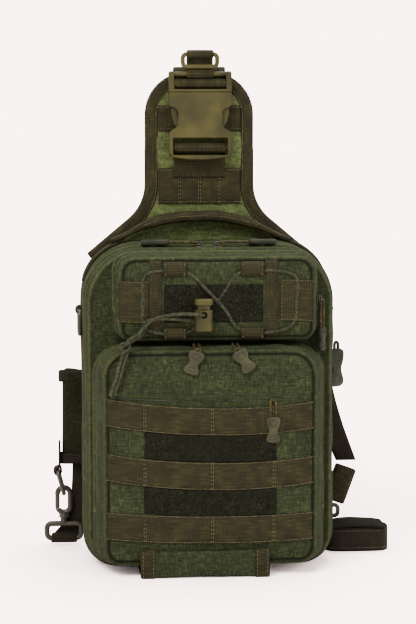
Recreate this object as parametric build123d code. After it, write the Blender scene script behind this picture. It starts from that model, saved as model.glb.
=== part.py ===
from build123d import *
import math
import os

# Tactical sling bag, standing on its base. Millimetres, +Z up, front towards -Y.
# The origin is the point on the ground under the middle of the partition
# between the rear compartment and the front compartment.

# ---------------------------------------------------------------- driving sizes
body_width = 232.0
body_height = 300.0
body_top_radius = 50.0
body_bottom_radius = 30.0
back_panel_thickness = 10.0
main_depth = 46.0
front_depth = 36.0
front_taper = 11.0  # degrees that the front compartment narrows towards its face
wall = 2.0  # sewn fabric, foam and lining together
partition_thickness = 3.0
part_gap = 0.3  # clearance between pieces that open apart
sewn_gap = 0.05  # clearance between two pieces sewn face to face

lower_width = 214.0
lower_bottom = 9.0
lower_top = 210.0
lower_depth = 44.0
lower_shift = -2.0
lower_top_radius = 26.0
lower_bottom_radius = 14.0
lower_taper = 16.0
lower_hinge_height = 60.0  # the height at which the lower pocket's zip ends

upper_width = 188.0
upper_bottom = 219.0
upper_top = 297.0
upper_depth = 28.0
upper_shift = 4.0
upper_radius = 15.0
upper_taper = 14.0

zip_gusset = 14.0  # depth of the fixed gusset behind each pocket's zip
zip_width = 5.0  # tape that shows on each side of the coil
zip_thickness = 1.2
body_zip_end = 82.0  # height at which the two body zips end
upper_zip_end = 248.0

yoke_shift = -4.0
yoke_half_width = 51.0
yoke_top = 462.0
yoke_top_radius = 40.0
yoke_waist = 356.0
yoke_flare_radius = 45.0
yoke_flare_angle = 50.0
yoke_thickness = 8.0
binding_thickness = 1.2
binding_width = 11.0

webbing = 1.8
wide_webbing = 50.0
narrow_webbing = 25.4
molle_pitch = 50.8
molle_lowest = 45.5

buckle_half_width = wide_webbing / 2 + 5.0
buckle_thickness = 12.0
buckle_bottom = 379.5
buckle_mouth = 444.0
buckle_top = 464.0
buckle_bar_radius = 2.8
buckle_gap = 3.0  # buckle's back to the yoke

cord_diameter = 3.4
pull_cord = 2.4

# ---------------------------------------------------------------- derived planes
back_inner = main_depth
back_outer = main_depth + back_panel_thickness
main_zip = main_depth * 0.43
front_zip = -front_depth * 0.5
front_face = -front_depth
lower_face = front_face - lower_depth
upper_face = front_face - upper_depth
lower_zip = front_face - zip_gusset
upper_zip = front_face - zip_gusset * 0.75
half_gap = part_gap / 2

pieces = {}


# ---------------------------------------------------------------- helpers
def at_depth(y):
    """Drawing plane that faces the front, at depth y: local x is X, local y is Z."""
    return Plane(origin=(0, y, 0), x_dir=(1, 0, 0), z_dir=(0, -1, 0))


def side_plane(x):
    """Drawing plane across the bag at x: local x is Y, local y is Z."""
    return Plane(origin=(x, 0, 0), x_dir=(0, 1, 0), z_dir=(1, 0, 0))


def outline(width, bottom, top, top_radius, bottom_radius, centre=0.0):
    """Upright rounded outline, wider radii at the top than at the bottom."""
    sketch = Pos(centre, (bottom + top) / 2) * Rectangle(width, top - bottom)
    sketch = fillet(sketch.vertices().sort_by(Axis.Y)[-2:], top_radius)
    return fillet(sketch.vertices().sort_by(Axis.Y)[:2], bottom_radius)


def slab(sketch, rear, front, taper=0.0):
    """Solid of a front-facing sketch between two depths."""
    return extrude(at_depth(rear) * sketch, amount=rear - front, taper=taper)


def block(x0, x1, y0, y1, z0, z1):
    centre = Pos((x0 + x1) / 2, (y0 + y1) / 2, (z0 + z1) / 2)
    return centre * Box(abs(x1 - x0), abs(y1 - y0), abs(z1 - z0))


def soft_block(x0, x1, y0, y1, z0, z1, radius):
    solid = block(x0, x1, y0, y1, z0, z1)
    return fillet(solid.edges(), radius)


def above(solid, height):
    return solid - block(-400, 400, -400, 400, -400, height)


def below(solid, height):
    return solid - block(-400, 400, -400, 400, height, 900)


def body_outline(inset=0.0):
    return outline(
        body_width - 2 * inset,
        inset,
        body_height - inset,
        body_top_radius - inset,
        body_bottom_radius - inset,
    )


def lower_outline(inset=0.0):
    return outline(
        lower_width - 2 * inset,
        lower_bottom + inset,
        lower_top - inset,
        lower_top_radius - inset,
        lower_bottom_radius - inset,
        lower_shift,
    )


def upper_outline(inset=0.0):
    radius = upper_radius - inset
    return outline(
        upper_width - 2 * inset,
        upper_bottom + inset,
        upper_top - inset,
        radius,
        radius,
        upper_shift,
    )


def ring(shape, rear, front, thickness=wall, inset=0.0, taper=0.0):
    """Gusset: the wall of an outline between two depths, open at both ends."""
    outer = slab(shape(inset), rear, front, taper)
    inner = slab(shape(inset + thickness), rear, front, taper)
    return outer - inner


def tray(shape, rear, front, taper):
    """Face panel and the gusset behind it, open at the back."""
    outer = slab(shape(), rear, front, taper)
    inner = slab(shape(wall), rear, front + wall, taper)
    return outer - inner


def zip_strip(shape, rear, front, end, taper=0.0):
    """Half of a zip: tape and coil along the top and both sides, above its end."""
    tape = ring(shape, rear, front, zip_thickness, (wall - zip_thickness) / 2, taper)
    return above(tape, end)


def rod(start, end, radius):
    axis = Vector(*end) - Vector(*start)
    plane = Plane(origin=start, z_dir=axis)
    return extrude(plane * Circle(radius), amount=axis.length)


def rounded_loop(plane, outer_w, outer_h, rod_width, depth, corner, edge):
    """Closed moulded loop, such as a D-ring or hook, lying in a plane."""
    outside = fillet(Rectangle(outer_w, outer_h).vertices(), corner)
    inner_corner = max(corner - rod_width, 0.6)
    opening = Rectangle(outer_w - 2 * rod_width, outer_h - 2 * rod_width)
    inside = fillet(opening.vertices(), inner_corner)
    loop = extrude(plane * (outside - inside), amount=depth / 2, both=True)
    return fillet(loop.edges(), edge)


# ---------------------------------------------------------------- back and body
def make_back():
    panel = slab(body_outline(), back_outer, back_inner + sewn_gap)
    pieces["back_panel"] = below(panel, yoke_base)
    pad = outline(body_width - 60, 30, body_height - 40, 30, 30)
    whole = slab(pad, back_outer + 6, back_outer + sewn_gap)
    for height in (96, 178):
        whole = whole - block(-200, 200, back_outer, back_outer + 10, height, height + 8)
    pieces["back_pads"] = fillet(whole.edges().group_by(Axis.Y)[-1], 3.0)
    gusset = ring(body_outline, back_inner, main_zip + half_gap)
    cut = slab(body_outline(-5), main_zip + half_gap + zip_width, main_zip)
    pieces["main_rear_gusset"] = gusset - above(cut, body_zip_end)
    rear = main_zip + half_gap + zip_width - sewn_gap
    pieces["zip_tape_back"] = zip_strip(
        body_outline, rear, main_zip + half_gap, body_zip_end + sewn_gap
    )


def make_middle():
    front_edge = partition_thickness / 2 + sewn_gap
    pieces["partition_panel"] = slab(
        body_outline(wall + sewn_gap), front_edge - sewn_gap, -front_edge + sewn_gap
    )
    rear = main_zip - half_gap
    front = front_zip + half_gap
    gusset = ring(body_outline, rear, front)
    rear_cut = above(slab(body_outline(-5), rear + 1, rear - zip_width), body_zip_end)
    front_cut = above(slab(body_outline(-5), front + zip_width, front - 1), body_zip_end)
    pieces["middle_gusset"] = gusset - rear_cut - front_cut
    end = body_zip_end + sewn_gap
    rear_tape = zip_strip(body_outline, rear, rear - zip_width + sewn_gap, end)
    front_tape = zip_strip(body_outline, front + zip_width - sewn_gap, front, end)
    pieces["zip_tapes_middle"] = rear_tape + front_tape


def make_front():
    rear = front_zip - half_gap
    shell = tray(body_outline, rear, front_face, front_taper)
    cut = above(slab(body_outline(-5), rear + 1, rear - zip_width), body_zip_end)
    pieces["front_tray"] = shell - cut
    narrow = body_outline(0.4)  # clear of the tapered wall's inner side
    tape = above(
        slab(narrow, rear, rear - zip_width + sewn_gap)
        - slab(body_outline(0.4 + zip_thickness), rear, rear - zip_width + sewn_gap),
        body_zip_end + sewn_gap,
    )
    lower_rear = front_face - sewn_gap
    lower_ring = ring(lower_outline, lower_rear, lower_zip + half_gap)
    lower_cut = slab(lower_outline(-5), lower_zip + half_gap + zip_width, lower_zip)
    lower_gusset = lower_ring - above(lower_cut, lower_hinge_height)
    lower_tape = zip_strip(
        lower_outline,
        lower_zip + half_gap + zip_width - sewn_gap,
        lower_zip + half_gap,
        lower_hinge_height + sewn_gap,
    )
    upper_ring = ring(upper_outline, lower_rear, upper_zip + half_gap)
    upper_cut = slab(upper_outline(-5), upper_zip + half_gap + zip_width, upper_zip)
    pieces["pocket_gussets"] = lower_gusset + (upper_ring - above(upper_cut, upper_zip_end))
    upper_tape = zip_strip(
        upper_outline,
        upper_zip + half_gap + zip_width - sewn_gap,
        upper_zip + half_gap,
        upper_zip_end + sewn_gap,
    )
    pieces["zip_tapes_front"] = tape + lower_tape + upper_tape
    pocket = tray(lower_outline, lower_zip + half_gap - sewn_gap, lower_face, lower_taper)
    pieces["lower_pocket_base"] = below(pocket, lower_hinge_height - half_gap)


def molle_row(index, lift=0.0):
    """One row of webbing across the lower pocket's face."""
    centre = molle_lowest + index * molle_pitch
    half = lower_width / 2 - lower_depth * math.tan(math.radians(lower_taper)) + 2
    return block(
        lower_shift - half,
        lower_shift + half,
        lower_face - sewn_gap - webbing - lift,
        lower_face - sewn_gap - lift,
        centre - narrow_webbing / 2,
        centre + narrow_webbing / 2,
    )


def make_base_webbing():
    """Lowest webbing row, and the two straps under the base that hold the bottom strap."""
    webs = molle_row(0)
    for x in (strap_x0, strap_x1 - strap_end):
        webs = webs + block(
            x, x + strap_end, lower_face + 8, front_face - 2, 0, webbing
        )
        webs = webs + block(
            x, x + strap_end, front_face - 3.8, front_face - 2, webbing, lower_bottom - sewn_gap
        )
    pieces["base_webbing"] = webs


def make_bottom_strap():
    """Folded fabric strap with webbing ends that stands in front of the base."""
    rear = lower_face - 2.8
    front = rear - 7.4
    overlap = 0.5  # the webbing ends hold the folded fabric
    x0 = strap_x0 + strap_end - overlap
    x1 = strap_x1 - strap_end + overlap
    strap = soft_block(x0, x1, front + 0.8, rear - 0.6, 1.5, 25.5, 2.4)
    for x in (strap_x0, strap_x1 - strap_end):
        strap = strap + soft_block(x, x + strap_end, front, rear, 0, 27, 2.6)
    pieces["bottom_strap"] = strap


def make_lower_flap():
    rear = lower_zip - half_gap
    shell = tray(lower_outline, rear, lower_face, lower_taper)
    shell = above(shell, lower_hinge_height + half_gap)
    cut = slab(lower_outline(-5), rear + 1, rear - zip_width)
    pieces["lower_pocket_front"] = shell - cut
    strip = slab(lower_outline(0.7), rear, rear - zip_width + sewn_gap)
    hollow = slab(lower_outline(0.7 + zip_thickness), rear, rear - zip_width + sewn_gap)
    pieces["zip_tape_lower"] = above(strip - hollow, lower_hinge_height + half_gap)
    half = lower_width / 2 - lower_depth * math.tan(math.radians(lower_taper)) + 1
    y0 = lower_face - sewn_gap
    panel = block(
        lower_shift - half, lower_shift + half, y0 - 1.4, y0, slip_edge, slip_seam
    )
    pieces["slip_pocket_panel"] = panel
    pieces["molle_rows"] = molle_row(1) + molle_row(2)
    fields = None
    for low in (molle_lowest + narrow_webbing / 2, molle_lowest + molle_pitch + narrow_webbing / 2):
        field = block(
            lower_shift + field_x0,
            lower_shift + field_x1,
            y0 - 1.2,
            y0,
            max(low, lower_hinge_height + 2) + 0.5,
            low + molle_pitch - narrow_webbing - 0.5,
        )
        fields = field if fields is None else fields + field
    pieces["loop_fields"] = fields


def make_upper_flap():
    rear = upper_zip - half_gap
    shell = tray(upper_outline, rear, upper_face, upper_taper)
    cut = above(slab(upper_outline(-5), rear + 1, rear - zip_width), upper_zip_end)
    pieces["upper_pocket_front"] = shell - cut
    strip = slab(upper_outline(0.6), rear, rear - zip_width + sewn_gap)
    hollow = slab(upper_outline(0.6 + zip_thickness), rear, rear - zip_width + sewn_gap)
    pieces["zip_tape_upper"] = above(strip - hollow, upper_zip_end + sewn_gap)
    y0 = upper_face - sewn_gap
    webs = None
    for x0, x1, z0, z1 in face_webs:
        web = block(x0, x1, y0 - 1.2, y0, z0, z1)
        webs = web if webs is None else webs + web
    patch = block(loop_x[0], loop_x[3], y0 - 1.2, y0, cord_low + 1.5, cord_high - 6.5)
    pieces["face_trim"] = webs + patch
    keepers = None
    for x0, x1 in ((loop_x[0], loop_x[1]), (loop_x[2], loop_x[3])):
        for z0, z1 in ((keeper_low - 11, keeper_low), (keeper_high, keeper_high + 13)):
            keeper = keeper_sleeve(x0, x1, z0, z1)
            keepers = keeper if keepers is None else keepers + keeper
    pieces["bungee_loops"] = keepers


def keeper_sleeve(x0, x1, z0, z1):
    """Webbing sleeve sewn on the pocket face, with room for the cord behind it."""
    outer = block(x0, x1, keeper_rear - keeper_room - webbing, keeper_rear, z0, z1)
    tunnel = block(
        x0 - 1, x1 + 1, keeper_rear - keeper_room, keeper_rear - 0.2, z0 + 1.4, z1 - 1.4
    )
    return outer - tunnel


# ---------------------------------------------------------------- bungee and lock
def tube(points, radius, name):
    """Round cord along a route, each corner an arc as large as its runs allow."""
    path_points = [Vector(*p) for p in points]
    radii = []
    for a, b, c in zip(path_points, path_points[1:], path_points[2:]):
        turn = math.radians((b - a).get_angle(c - b))
        run = min((b - a).length, (c - b).length)
        radii.append(0.45 * run / math.tan(turn / 2))
    print(name, "bend radii mm", [round(r, 1) for r in radii])
    path = FilletPolyline(*points, radius=radii)
    start = Plane(origin=path @ 0, z_dir=path % 0)
    solid = sweep(start * Circle(radius), path=path)
    share = solid.volume / (math.pi * radius**2 * path.length)
    print(name, "length mm", round(path.length, 1), "volume share", round(share, 3))
    return solid


def make_bungee():
    flat = keeper_rear - (keeper_room + 0.2) / 2  # cord that lies on the webbing
    over = flat - cord_diameter - 0.5  # cord that crosses over another
    left, right = cord_left, cord_right
    high, low = cord_high, cord_low
    middle = (low + high) / 2
    lock_y = lock_depth
    route = [
        (left + 1, flat - 4.6, low - 3),
        (left + 7, flat - 6, low + 6),
        (lock_x - 28, lock_y - 1.5, lock_hole + 1),
        (lock_x - 10, lock_y - 8.5, lock_hole + 1.5),
        (lock_x, lock_y - 7, lock_hole),
        (lock_x + 0.2, lock_y + 2, lock_hole - 0.5),
        (lock_x - 2.5, flat, lock_hole - 8),
        (loop_x[1] + 4, flat, low - 6.5),
        (loop_x[1] - 7, flat, low - 9),
        (loop_x[0] + 2, flat, low - 8.5),
        (left + 6, flat, low - 5),
        (left, flat, low + 5),
        (left + 0.5, flat, middle),
        (left, flat, high - 5),
        (left + 7, flat, high + 3.5),
        (loop_x[0] + 1, flat, high + 6),
        (loop_x[1] + 3, flat, high + 5.5),
        (-6, over, middle + 10),
        (12, over, middle - 8),
        (loop_x[2] - 3, flat, low - 7.5),
        (loop_x[3] - 3, flat, low - 9),
        (right - 9, flat, low - 5.5),
        (right - 3, flat, low + 4),
        (right - 2, flat, middle),
        (right + 1, flat, high - 5),
        (right - 8, flat, high + 3.5),
        (loop_x[3] - 1, flat, high + 6),
        (loop_x[2] - 3, flat, high + 5.5),
        (11, flat, middle + 9),
        (3, flat, middle - 3),
    ]
    pieces["bungee_cord"] = tube(route, cord_diameter / 2, "bungee_cord")


def make_bungee_tail():
    """The knot and the two cord ends that hang from it in front of the lower pocket."""
    x, y, z = knot
    tie = Pos(x, y, z) * Sphere(4.6)
    ends = [
        (x - 1, y - 0.5, z - 4),
        (x - 5.5, y - 1.2, z - 18),
        (x - 9, y - 1.0, z - 32),
        (x - 13.5, y - 0.8, z - 45),
    ]
    first = tube(ends, cord_diameter / 2, "bungee_tail")
    second = Pos(cord_diameter + 0.4, 0, 0.5) * first
    pieces["bungee_tail"] = tie + first + second


def make_cord_lock():
    """Spring-loaded cord lock: oval barrel open at the top, and its push button."""
    y = lock_depth
    plane = Plane(origin=(lock_x, y, lock_bottom), x_dir=(1, 0, 0), z_dir=(0, 0, 1))
    oval = fillet(Rectangle(16.5, 10).vertices(), 4.6)
    bore = fillet(Rectangle(12.4, 6.4).vertices(), 2.8)
    barrel = extrude(plane * oval, amount=20)
    barrel = fillet(barrel.edges().group_by(Axis.Z)[0], 1.6)
    barrel = barrel - Pos(0, 0, 7) * extrude(plane * bore, amount=20)
    window = Pos(lock_x, y, lock_hole) * Rot(90, 0, 0) * Cylinder(3.1, 20)
    pieces["cord_lock_barrel"] = barrel - window
    stem_shape = fillet(Rectangle(12.0, 6.0).vertices(), 2.6)
    stem = Pos(0, 0, 13) * extrude(plane * stem_shape, amount=14)
    fork = block(lock_x - 3.2, lock_x + 3.2, y - 8, y + 8, lock_bottom, lock_hole + 5.2)
    stem = stem - fork
    cap = Pos(0, 0, 24) * extrude(plane * fillet(Rectangle(17, 10.6).vertices(), 4.8), amount=6)
    cap = fillet(cap.edges(), 1.6)
    pieces["cord_lock_button"] = stem + cap


# ---------------------------------------------------------------- yoke, buckle, handle
def yoke_sketch(grow=0.0):
    """Tombstone outline that flares out to the shoulders of the body."""
    half = yoke_half_width + grow
    angle = math.radians(yoke_flare_angle)
    radius = yoke_flare_radius - grow
    corner = yoke_top_radius + grow
    cx = yoke_shift
    waist = yoke_waist
    bend_x = half + radius * (1 - math.cos(angle))
    bend_z = waist - radius * math.sin(angle)
    drop = bend_z - yoke_base + 4
    foot_x = bend_x + drop * math.tan(angle)
    foot_z = yoke_base - 4
    top = yoke_top + grow
    s = math.sqrt(0.5)
    mid_x = half - corner * (1 - s)
    mid_z = top - corner * (1 - s)
    m = math.radians(yoke_flare_angle / 2)
    flare_mid = (half + radius * (1 - math.cos(m)), waist - radius * math.sin(m))

    def side(k):
        return [
            Line((cx + k * foot_x, foot_z), (cx + k * bend_x, bend_z)),
            ThreePointArc(
                (cx + k * bend_x, bend_z),
                (cx + k * flare_mid[0], flare_mid[1]),
                (cx + k * half, waist),
            ),
            Line((cx + k * half, waist), (cx + k * half, top - corner)),
            ThreePointArc(
                (cx + k * half, top - corner),
                (cx + k * mid_x, mid_z),
                (cx + k * (half - corner), top),
            ),
        ]

    edges = side(1) + side(-1)
    edges.append(Line((cx + half - corner, top), (cx - half + corner, top)))
    edges.append(Line((cx - foot_x, foot_z), (cx + foot_x, foot_z)))
    return make_face(Curve() + edges)


def make_yoke():
    rear = back_inner + yoke_thickness + 1
    front = back_inner + 1
    flare = slab(yoke_sketch(), rear, front)
    shoulders = slab(body_outline(), rear, front)
    pad = above(flare + shoulders, yoke_base + sewn_gap)
    pieces["yoke_pad"] = pad
    t = binding_thickness
    outer = slab(yoke_sketch(t), rear + t, front - t)
    inner = slab(yoke_sketch(-binding_width), rear + 2 * t, front - 2 * t)
    core = slab(yoke_sketch(sewn_gap), rear + sewn_gap, front - sewn_gap)
    bound = above(outer - inner - core, body_height + 1)
    pieces["yoke_binding"] = bound
    y0 = front - sewn_gap
    inset = yoke_half_width - binding_width - 0.3
    wide_band = block(
        yoke_shift - inset, yoke_shift + inset, y0 - 1.4, y0, yoke_band_low, yoke_band_low + 34
    )
    slim_band = block(
        yoke_shift - inset, yoke_shift + inset, y0 - 1.2, y0, yoke_band_high, yoke_band_high + 24
    )
    field = slab(yoke_sketch(-binding_width - 0.3), y0, y0 - 1.2)
    slim_band = slim_band & field
    bar_y, bar_z = buckle_y, female_bar_z
    wrap = webbing_wrap(bar_y, bar_z, buckle_bar_radius + 0.25, webbing)
    run_y0 = bar_y + buckle_bar_radius + 0.25
    hanging = block(
        yoke_shift - wide_webbing / 2,
        yoke_shift + wide_webbing / 2,
        run_y0,
        run_y0 + webbing,
        yoke_band_low + 30,
        bar_z,
    )
    pieces["yoke_webbing"] = wide_band + slim_band + wrap + hanging


def webbing_wrap(y, z, inner_radius, thickness):
    """Webbing turned round a buckle bar, across the wide webbing's width."""
    circle = side_plane(yoke_shift - wide_webbing / 2) * Pos(y, z)
    hoop = circle * (Circle(inner_radius + thickness) - Circle(inner_radius))
    return extrude(hoop, amount=wide_webbing)


def make_buckle():
    half = buckle_half_width
    cx = yoke_shift
    mid = buckle_y
    top, bottom = buckle_mouth, buckle_bottom
    waist = half - 8.6
    outline_points = [
        (half, top),
        (half, top - 11.5),
        (half - 1.6, top - 13.6),
        (waist + 2.0, top - 15.8),
        (waist, top - 18.4),
        (waist, top - 31.0),
        (waist + 2.2, top - 34.2),
        (half - 1.4, top - 37.2),
        (half, top - 40.2),
        (half - 0.6, bottom + 7.0),
        (half - 4.0, bottom + 2.4),
    ]
    right = [(cx + x, z) for x, z in outline_points]
    left = [(cx - x, z) for x, z in reversed(outline_points)]
    lip = ThreePointArc(right[-1], (cx, bottom), left[0])
    body_sketch = make_face(Curve() + [Polyline(*right), lip, Polyline(*left), Line(left[-1], right[0])])
    y0, y1 = mid + buckle_thickness / 2, mid - buckle_thickness / 2
    female = slab(body_sketch, y0, y1)
    female = chamfer(female.edges().group_by(Axis.Y)[0], 1.0)
    female = chamfer(female.edges().group_by(Axis.Y)[-1], 0.8)
    cavity = block(cx - half + 2, cx + half - 2, mid - 2.6, mid + 2.6, top - 36, top + 1)
    slot = block(cx - half + 3.6, cx + half - 3.6, -100, 200, slot_low, slot_high)
    slot = fillet(slot.edges().filter_by(Axis.Y), 1.4)
    way = wide_webbing / 2 + 0.6
    recess = block(cx - way, cx + way, mid + buckle_bar_radius + 0.1, mid + 10, bottom - 1, slot_low + 1)
    female = female - cavity - slot - recess
    bar = rod((cx - half + 3, mid, female_bar_z), (cx + half - 3, mid, female_bar_z), buckle_bar_radius)
    pieces["buckle_female"] = female + bar

    lift = part_gap
    shoulder = block(cx - half, cx + half, mid - 5.4, mid + 5.4, top + lift, top + lift + 2.6)
    rails = block(cx - half, cx - half + 5.0, mid - 4.4, mid + 4.4, top + lift + 2.5, buckle_top)
    rails = rails + block(cx + half - 5.0, cx + half, mid - 4.4, mid + 4.4, top + lift + 2.5, buckle_top)
    frame = shoulder + rails
    frame = fillet(frame.edges().filter_by(Axis.Y).group_by(Axis.Z)[-1], 2.0)
    frame = fillet(frame.edges().group_by(Axis.Y)[0], 0.8)
    frame = fillet(frame.edges().group_by(Axis.Y)[-1], 0.8)
    top_bar = rod((cx - half + 4, mid, top_bar_z), (cx + half - 4, mid, top_bar_z), 2.3)
    mid_bar = rod((cx - half + 4, mid, male_bar_z), (cx + half - 4, mid, male_bar_z), 2.4)
    guide = block(cx - 9, cx + 9, mid - 2.0, mid + 2.0, top - 31, top + lift + 0.5)
    for k in (-1, 1):
        guide = guide + block(
            cx + k * (prong_root - 2.4), cx + k * (prong_root + 2.4), mid - 2.2, mid + 2.2,
            top - 1.4, top + lift + 0.5,
        )
    pieces["buckle_male_frame"] = frame + top_bar + mid_bar + guide

    for name, k in (("buckle_prong_left", -1), ("buckle_prong_right", 1)):
        reach = half - 2.4
        points = [
            (prong_root - 2.2, top - 1.8),
            (prong_root + 2.2, top - 1.8),
            (prong_root + 2.6, top - 11.0),
            (reach, top - 15.5),
            (reach, top - 21.0),
            (reach - 2.8, top - 30.0),
            (reach - 5.4, top - 33.5),
            (reach - 8.4, top - 33.0),
            (reach - 6.6, top - 27.0),
            (reach - 5.2, top - 19.0),
            (prong_root - 1.6, top - 10.5),
        ]
        face = make_face(Polyline(*[(cx + k * x, z) for x, z in points], close=True))
        prong = slab(face, mid + 2.1, mid - 2.1)
        prong = fillet(prong.edges().filter_by(Axis.Y), 0.7)
        pieces[name] = prong


def make_male_webbing():
    """Strap webbing round the male buckle's bar and over the yoke, and the narrow pull tab."""
    mid = buckle_y
    wrap = webbing_wrap(mid, male_bar_z, 2.65, webbing)
    rise = mid + 2.65
    crest = yoke_top + binding_thickness + 3
    behind = back_inner + 1 + yoke_thickness + binding_thickness + 1.0
    profile = [
        (rise, male_bar_z),
        (rise + webbing, male_bar_z),
        (rise + webbing + 1.0, crest - 3),
        (behind - 2.0, crest),
        (behind, crest - 3.5),
        (behind, crest - 66),
        (behind + webbing, crest - 66),
        (behind + webbing, crest - 2),
        (behind - 0.5, crest + webbing),
        (rise + 1.5, crest + webbing - 0.6),
        (rise - 0.2, crest - 3),
    ]
    face = make_face(Polyline(*profile, close=True))
    strap = extrude(
        side_plane(yoke_shift - wide_webbing / 2) * face, amount=wide_webbing
    )
    half = narrow_webbing / 2
    x0 = yoke_shift - half
    hoop = side_plane(x0) * Pos(mid, top_bar_z) * (Circle(2.5 + webbing) - Circle(2.5))
    ring_y, ring_z = dring_axis
    eye = side_plane(x0) * Pos(ring_y, ring_z) * (Circle(2.4 + webbing) - Circle(2.4))
    tab = extrude(hoop, amount=narrow_webbing) + extrude(eye, amount=narrow_webbing)
    back = [
        (mid + 2.5 + webbing, top_bar_z),
        (mid + 2.5, top_bar_z),
        (ring_y + 2.4, ring_z),
        (ring_y + 2.4 + webbing, ring_z),
    ]
    tab = tab + extrude(side_plane(x0) * make_face(Polyline(*back, close=True)), amount=narrow_webbing)
    pieces["male_webbing"] = strap - tab_clearance(mid) + tab


def tab_clearance(mid):
    """Room for the male buckle's top bar and its tab in the wide webbing."""
    zone = Pos(yoke_shift, mid, top_bar_z) * Rot(0, 90, 0) * Cylinder(4.8, wide_webbing + 4)
    return zone


def make_rings():
    ring_y, ring_z = dring_axis
    drop = (dring_height - ring_rod) / 2
    plane = Plane(origin=(yoke_shift, ring_y, ring_z - drop), x_dir=(1, 0, 0), z_dir=(0, -1, 0))
    pieces["top_dring"] = rounded_loop(plane, 37, dring_height, ring_rod, ring_rod, 6.0, 1.6)
    for name, k in (("side_dring_left", -1), ("side_dring_right", 1)):
        centre_x = k * (body_width / 2 + 4.2)
        plane = Plane(
            origin=(centre_x, side_ring_y, side_ring_z - 11),
            x_dir=(0, 1, 0),
            z_dir=(k, 0, 0),
        )
        pieces[name] = rounded_loop(plane, 30, 26, 3.8, 3.8, 7, 1.5)


def make_side_tabs():
    """Webbing tabs on the sides: one at each shoulder, one over each D-ring."""
    tabs = None
    mid_y = side_ring_y
    half = 7.5  # half of the tab's width
    for k in (-1, 1):
        x = k * (body_width / 2 + 4.2)
        hoop_plane = Plane(origin=(x, mid_y - half, side_ring_z), x_dir=(1, 0, 0), z_dir=(0, 1, 0))
        hoop = extrude(hoop_plane * (Circle(2.3 + 1.5) - Circle(2.3)), amount=2 * half)
        wall_x = k * (body_width / 2 + sewn_gap)
        side = sorted((wall_x, k * (body_width / 2 + 1.5)))
        strip = block(side[0], side[1], mid_y - half, mid_y + half, side_ring_z - 40, side_ring_z + 3)
        cap = block(wall_x, x, mid_y - half, mid_y + half, side_ring_z + 2.4, side_ring_z + 3.7)
        tab = hoop + strip + cap
        shoulder_x = k * (body_width / 2 - 15)
        pad = Pos(shoulder_x, mid_y, body_height - 6) * Box(20, 18, 5)
        pad = fillet(pad.edges(), 1.6)
        gusset = slab(body_outline(-sewn_gap), back_inner, 0)
        tab = tab + (pad - gusset)
        tabs = tab if tabs is None else tabs + tab
    pieces["side_tabs"] = tabs


def make_handle():
    """Grab handle: a webbing arch on the top of the body, in front of the yoke."""
    y = handle_y
    path = FilletPolyline(*[(x, z) for x, z in handle_line], radius=16)
    band = trace(path, handle_height)
    arch = extrude(at_depth(y + handle_depth / 2) * band, amount=handle_depth)
    pieces["grab_handle"] = arch


# ---------------------------------------------------------------- zip sliders and pulls
def tab_solid(x, y, z, length, width, thickness, direction):
    """Dog-bone pull tab, hanging (0, 0, -1) or lying along X."""
    half = length / 2
    outline_pts = [
        (-width / 2, half - 2),
        (-width / 2 + 2, half),
        (width / 2 - 2, half),
        (width / 2, half - 2),
        (width * 0.30, 0),
        (width / 2, -half + 2),
        (width / 2 - 2, -half),
        (-width / 2 + 2, -half),
        (-width / 2, -half + 2),
        (-width * 0.30, 0),
    ]
    face = make_face(Polyline(*outline_pts, close=True))
    plane = Plane(origin=(x, y, z), x_dir=direction[0], z_dir=direction[1])
    tab = extrude(plane * face, amount=thickness / 2, both=True)
    return fillet(tab.edges(), min(1.0, thickness * 0.3))


def slider_body(x, y, z, size):
    """Slider of a zip, lying outside the coil: sx, sy, sz are its sizes."""
    sx, sy, sz = size
    return fillet((Pos(x, y, z) * Box(sx, sy, sz)).edges(), 0.9)


def make_top_sliders():
    """The two sliders on top of the front compartment, with pulls that lie outwards."""
    z = body_height + part_gap
    for name, k in (("top_slider_left", -1), ("top_slider_right", 1)):
        x = k * 8.5
        body = slider_body(x, front_zip, z + 1.6, (9, 8, 3.2))
        eye = rounded_loop(
            Plane(origin=(x + k * 4.0, front_zip, z + 3.8), x_dir=(1, 0, 0), z_dir=(0, 0, 1)),
            9, 6.4, 1.5, 1.6, 2.6, 0.5,
        )
        cord = rod((x + k * 7.6, front_zip, z + 4.2), (x + k * 32, front_zip + 1, z + 4.4), pull_cord / 2)
        tab = tab_solid(
            x + k * 43.5, front_zip + 1, z + 4.4, 26, 12, 5,
            ((0, 1, 0), (0, 0, 1)),
        )
        pieces[name] = body + eye + cord + tab


def hanging_pull(x, y, top, tab_length, tab_width, cord_length, lean=0.0):
    """Cord loop and moulded tab hanging from a point, turned by lean degrees about Y."""
    cords = None
    for side in (-1, 1):
        cord = rod((side * 2.6, 0, 0), (side * 2.6, 0, -cord_length), pull_cord / 2)
        cords = cord if cords is None else cords + cord
    cords = cords + rod((-3.8, 0, 0), (3.8, 0, 0), pull_cord / 2)
    tab = tab_solid(
        0, 0, -cord_length - tab_length / 2 + 3, tab_length, tab_width, 5,
        ((1, 0, 0), (0, -1, 0)),
    )
    return Pos(x, y, top) * Rot(0, lean, 0) * (cords + tab)


def make_lower_sliders():
    """Sliders of the lower pocket: each body, its cord over the edge, and its hanging pull."""
    z = lower_top + part_gap
    edge_y = lower_face - pull_standoff
    for name, x, lean in (("left", slider_x[0], 14), ("right", slider_x[1], -26)):
        body = slider_body(x, lower_zip, z + 1.5, (9, 7, 3))
        start = (x, lower_zip - 3, z + 1.6)
        cord = rod(start, (x, edge_y + 2.0, z + 1.6), pull_cord / 2)
        pieces[f"lower_slider_{name}"] = body + cord
        pieces[f"lower_pull_{name}"] = hanging_pull(x, edge_y, z + 0.8, 22, 11.5, 5, lean)


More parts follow.
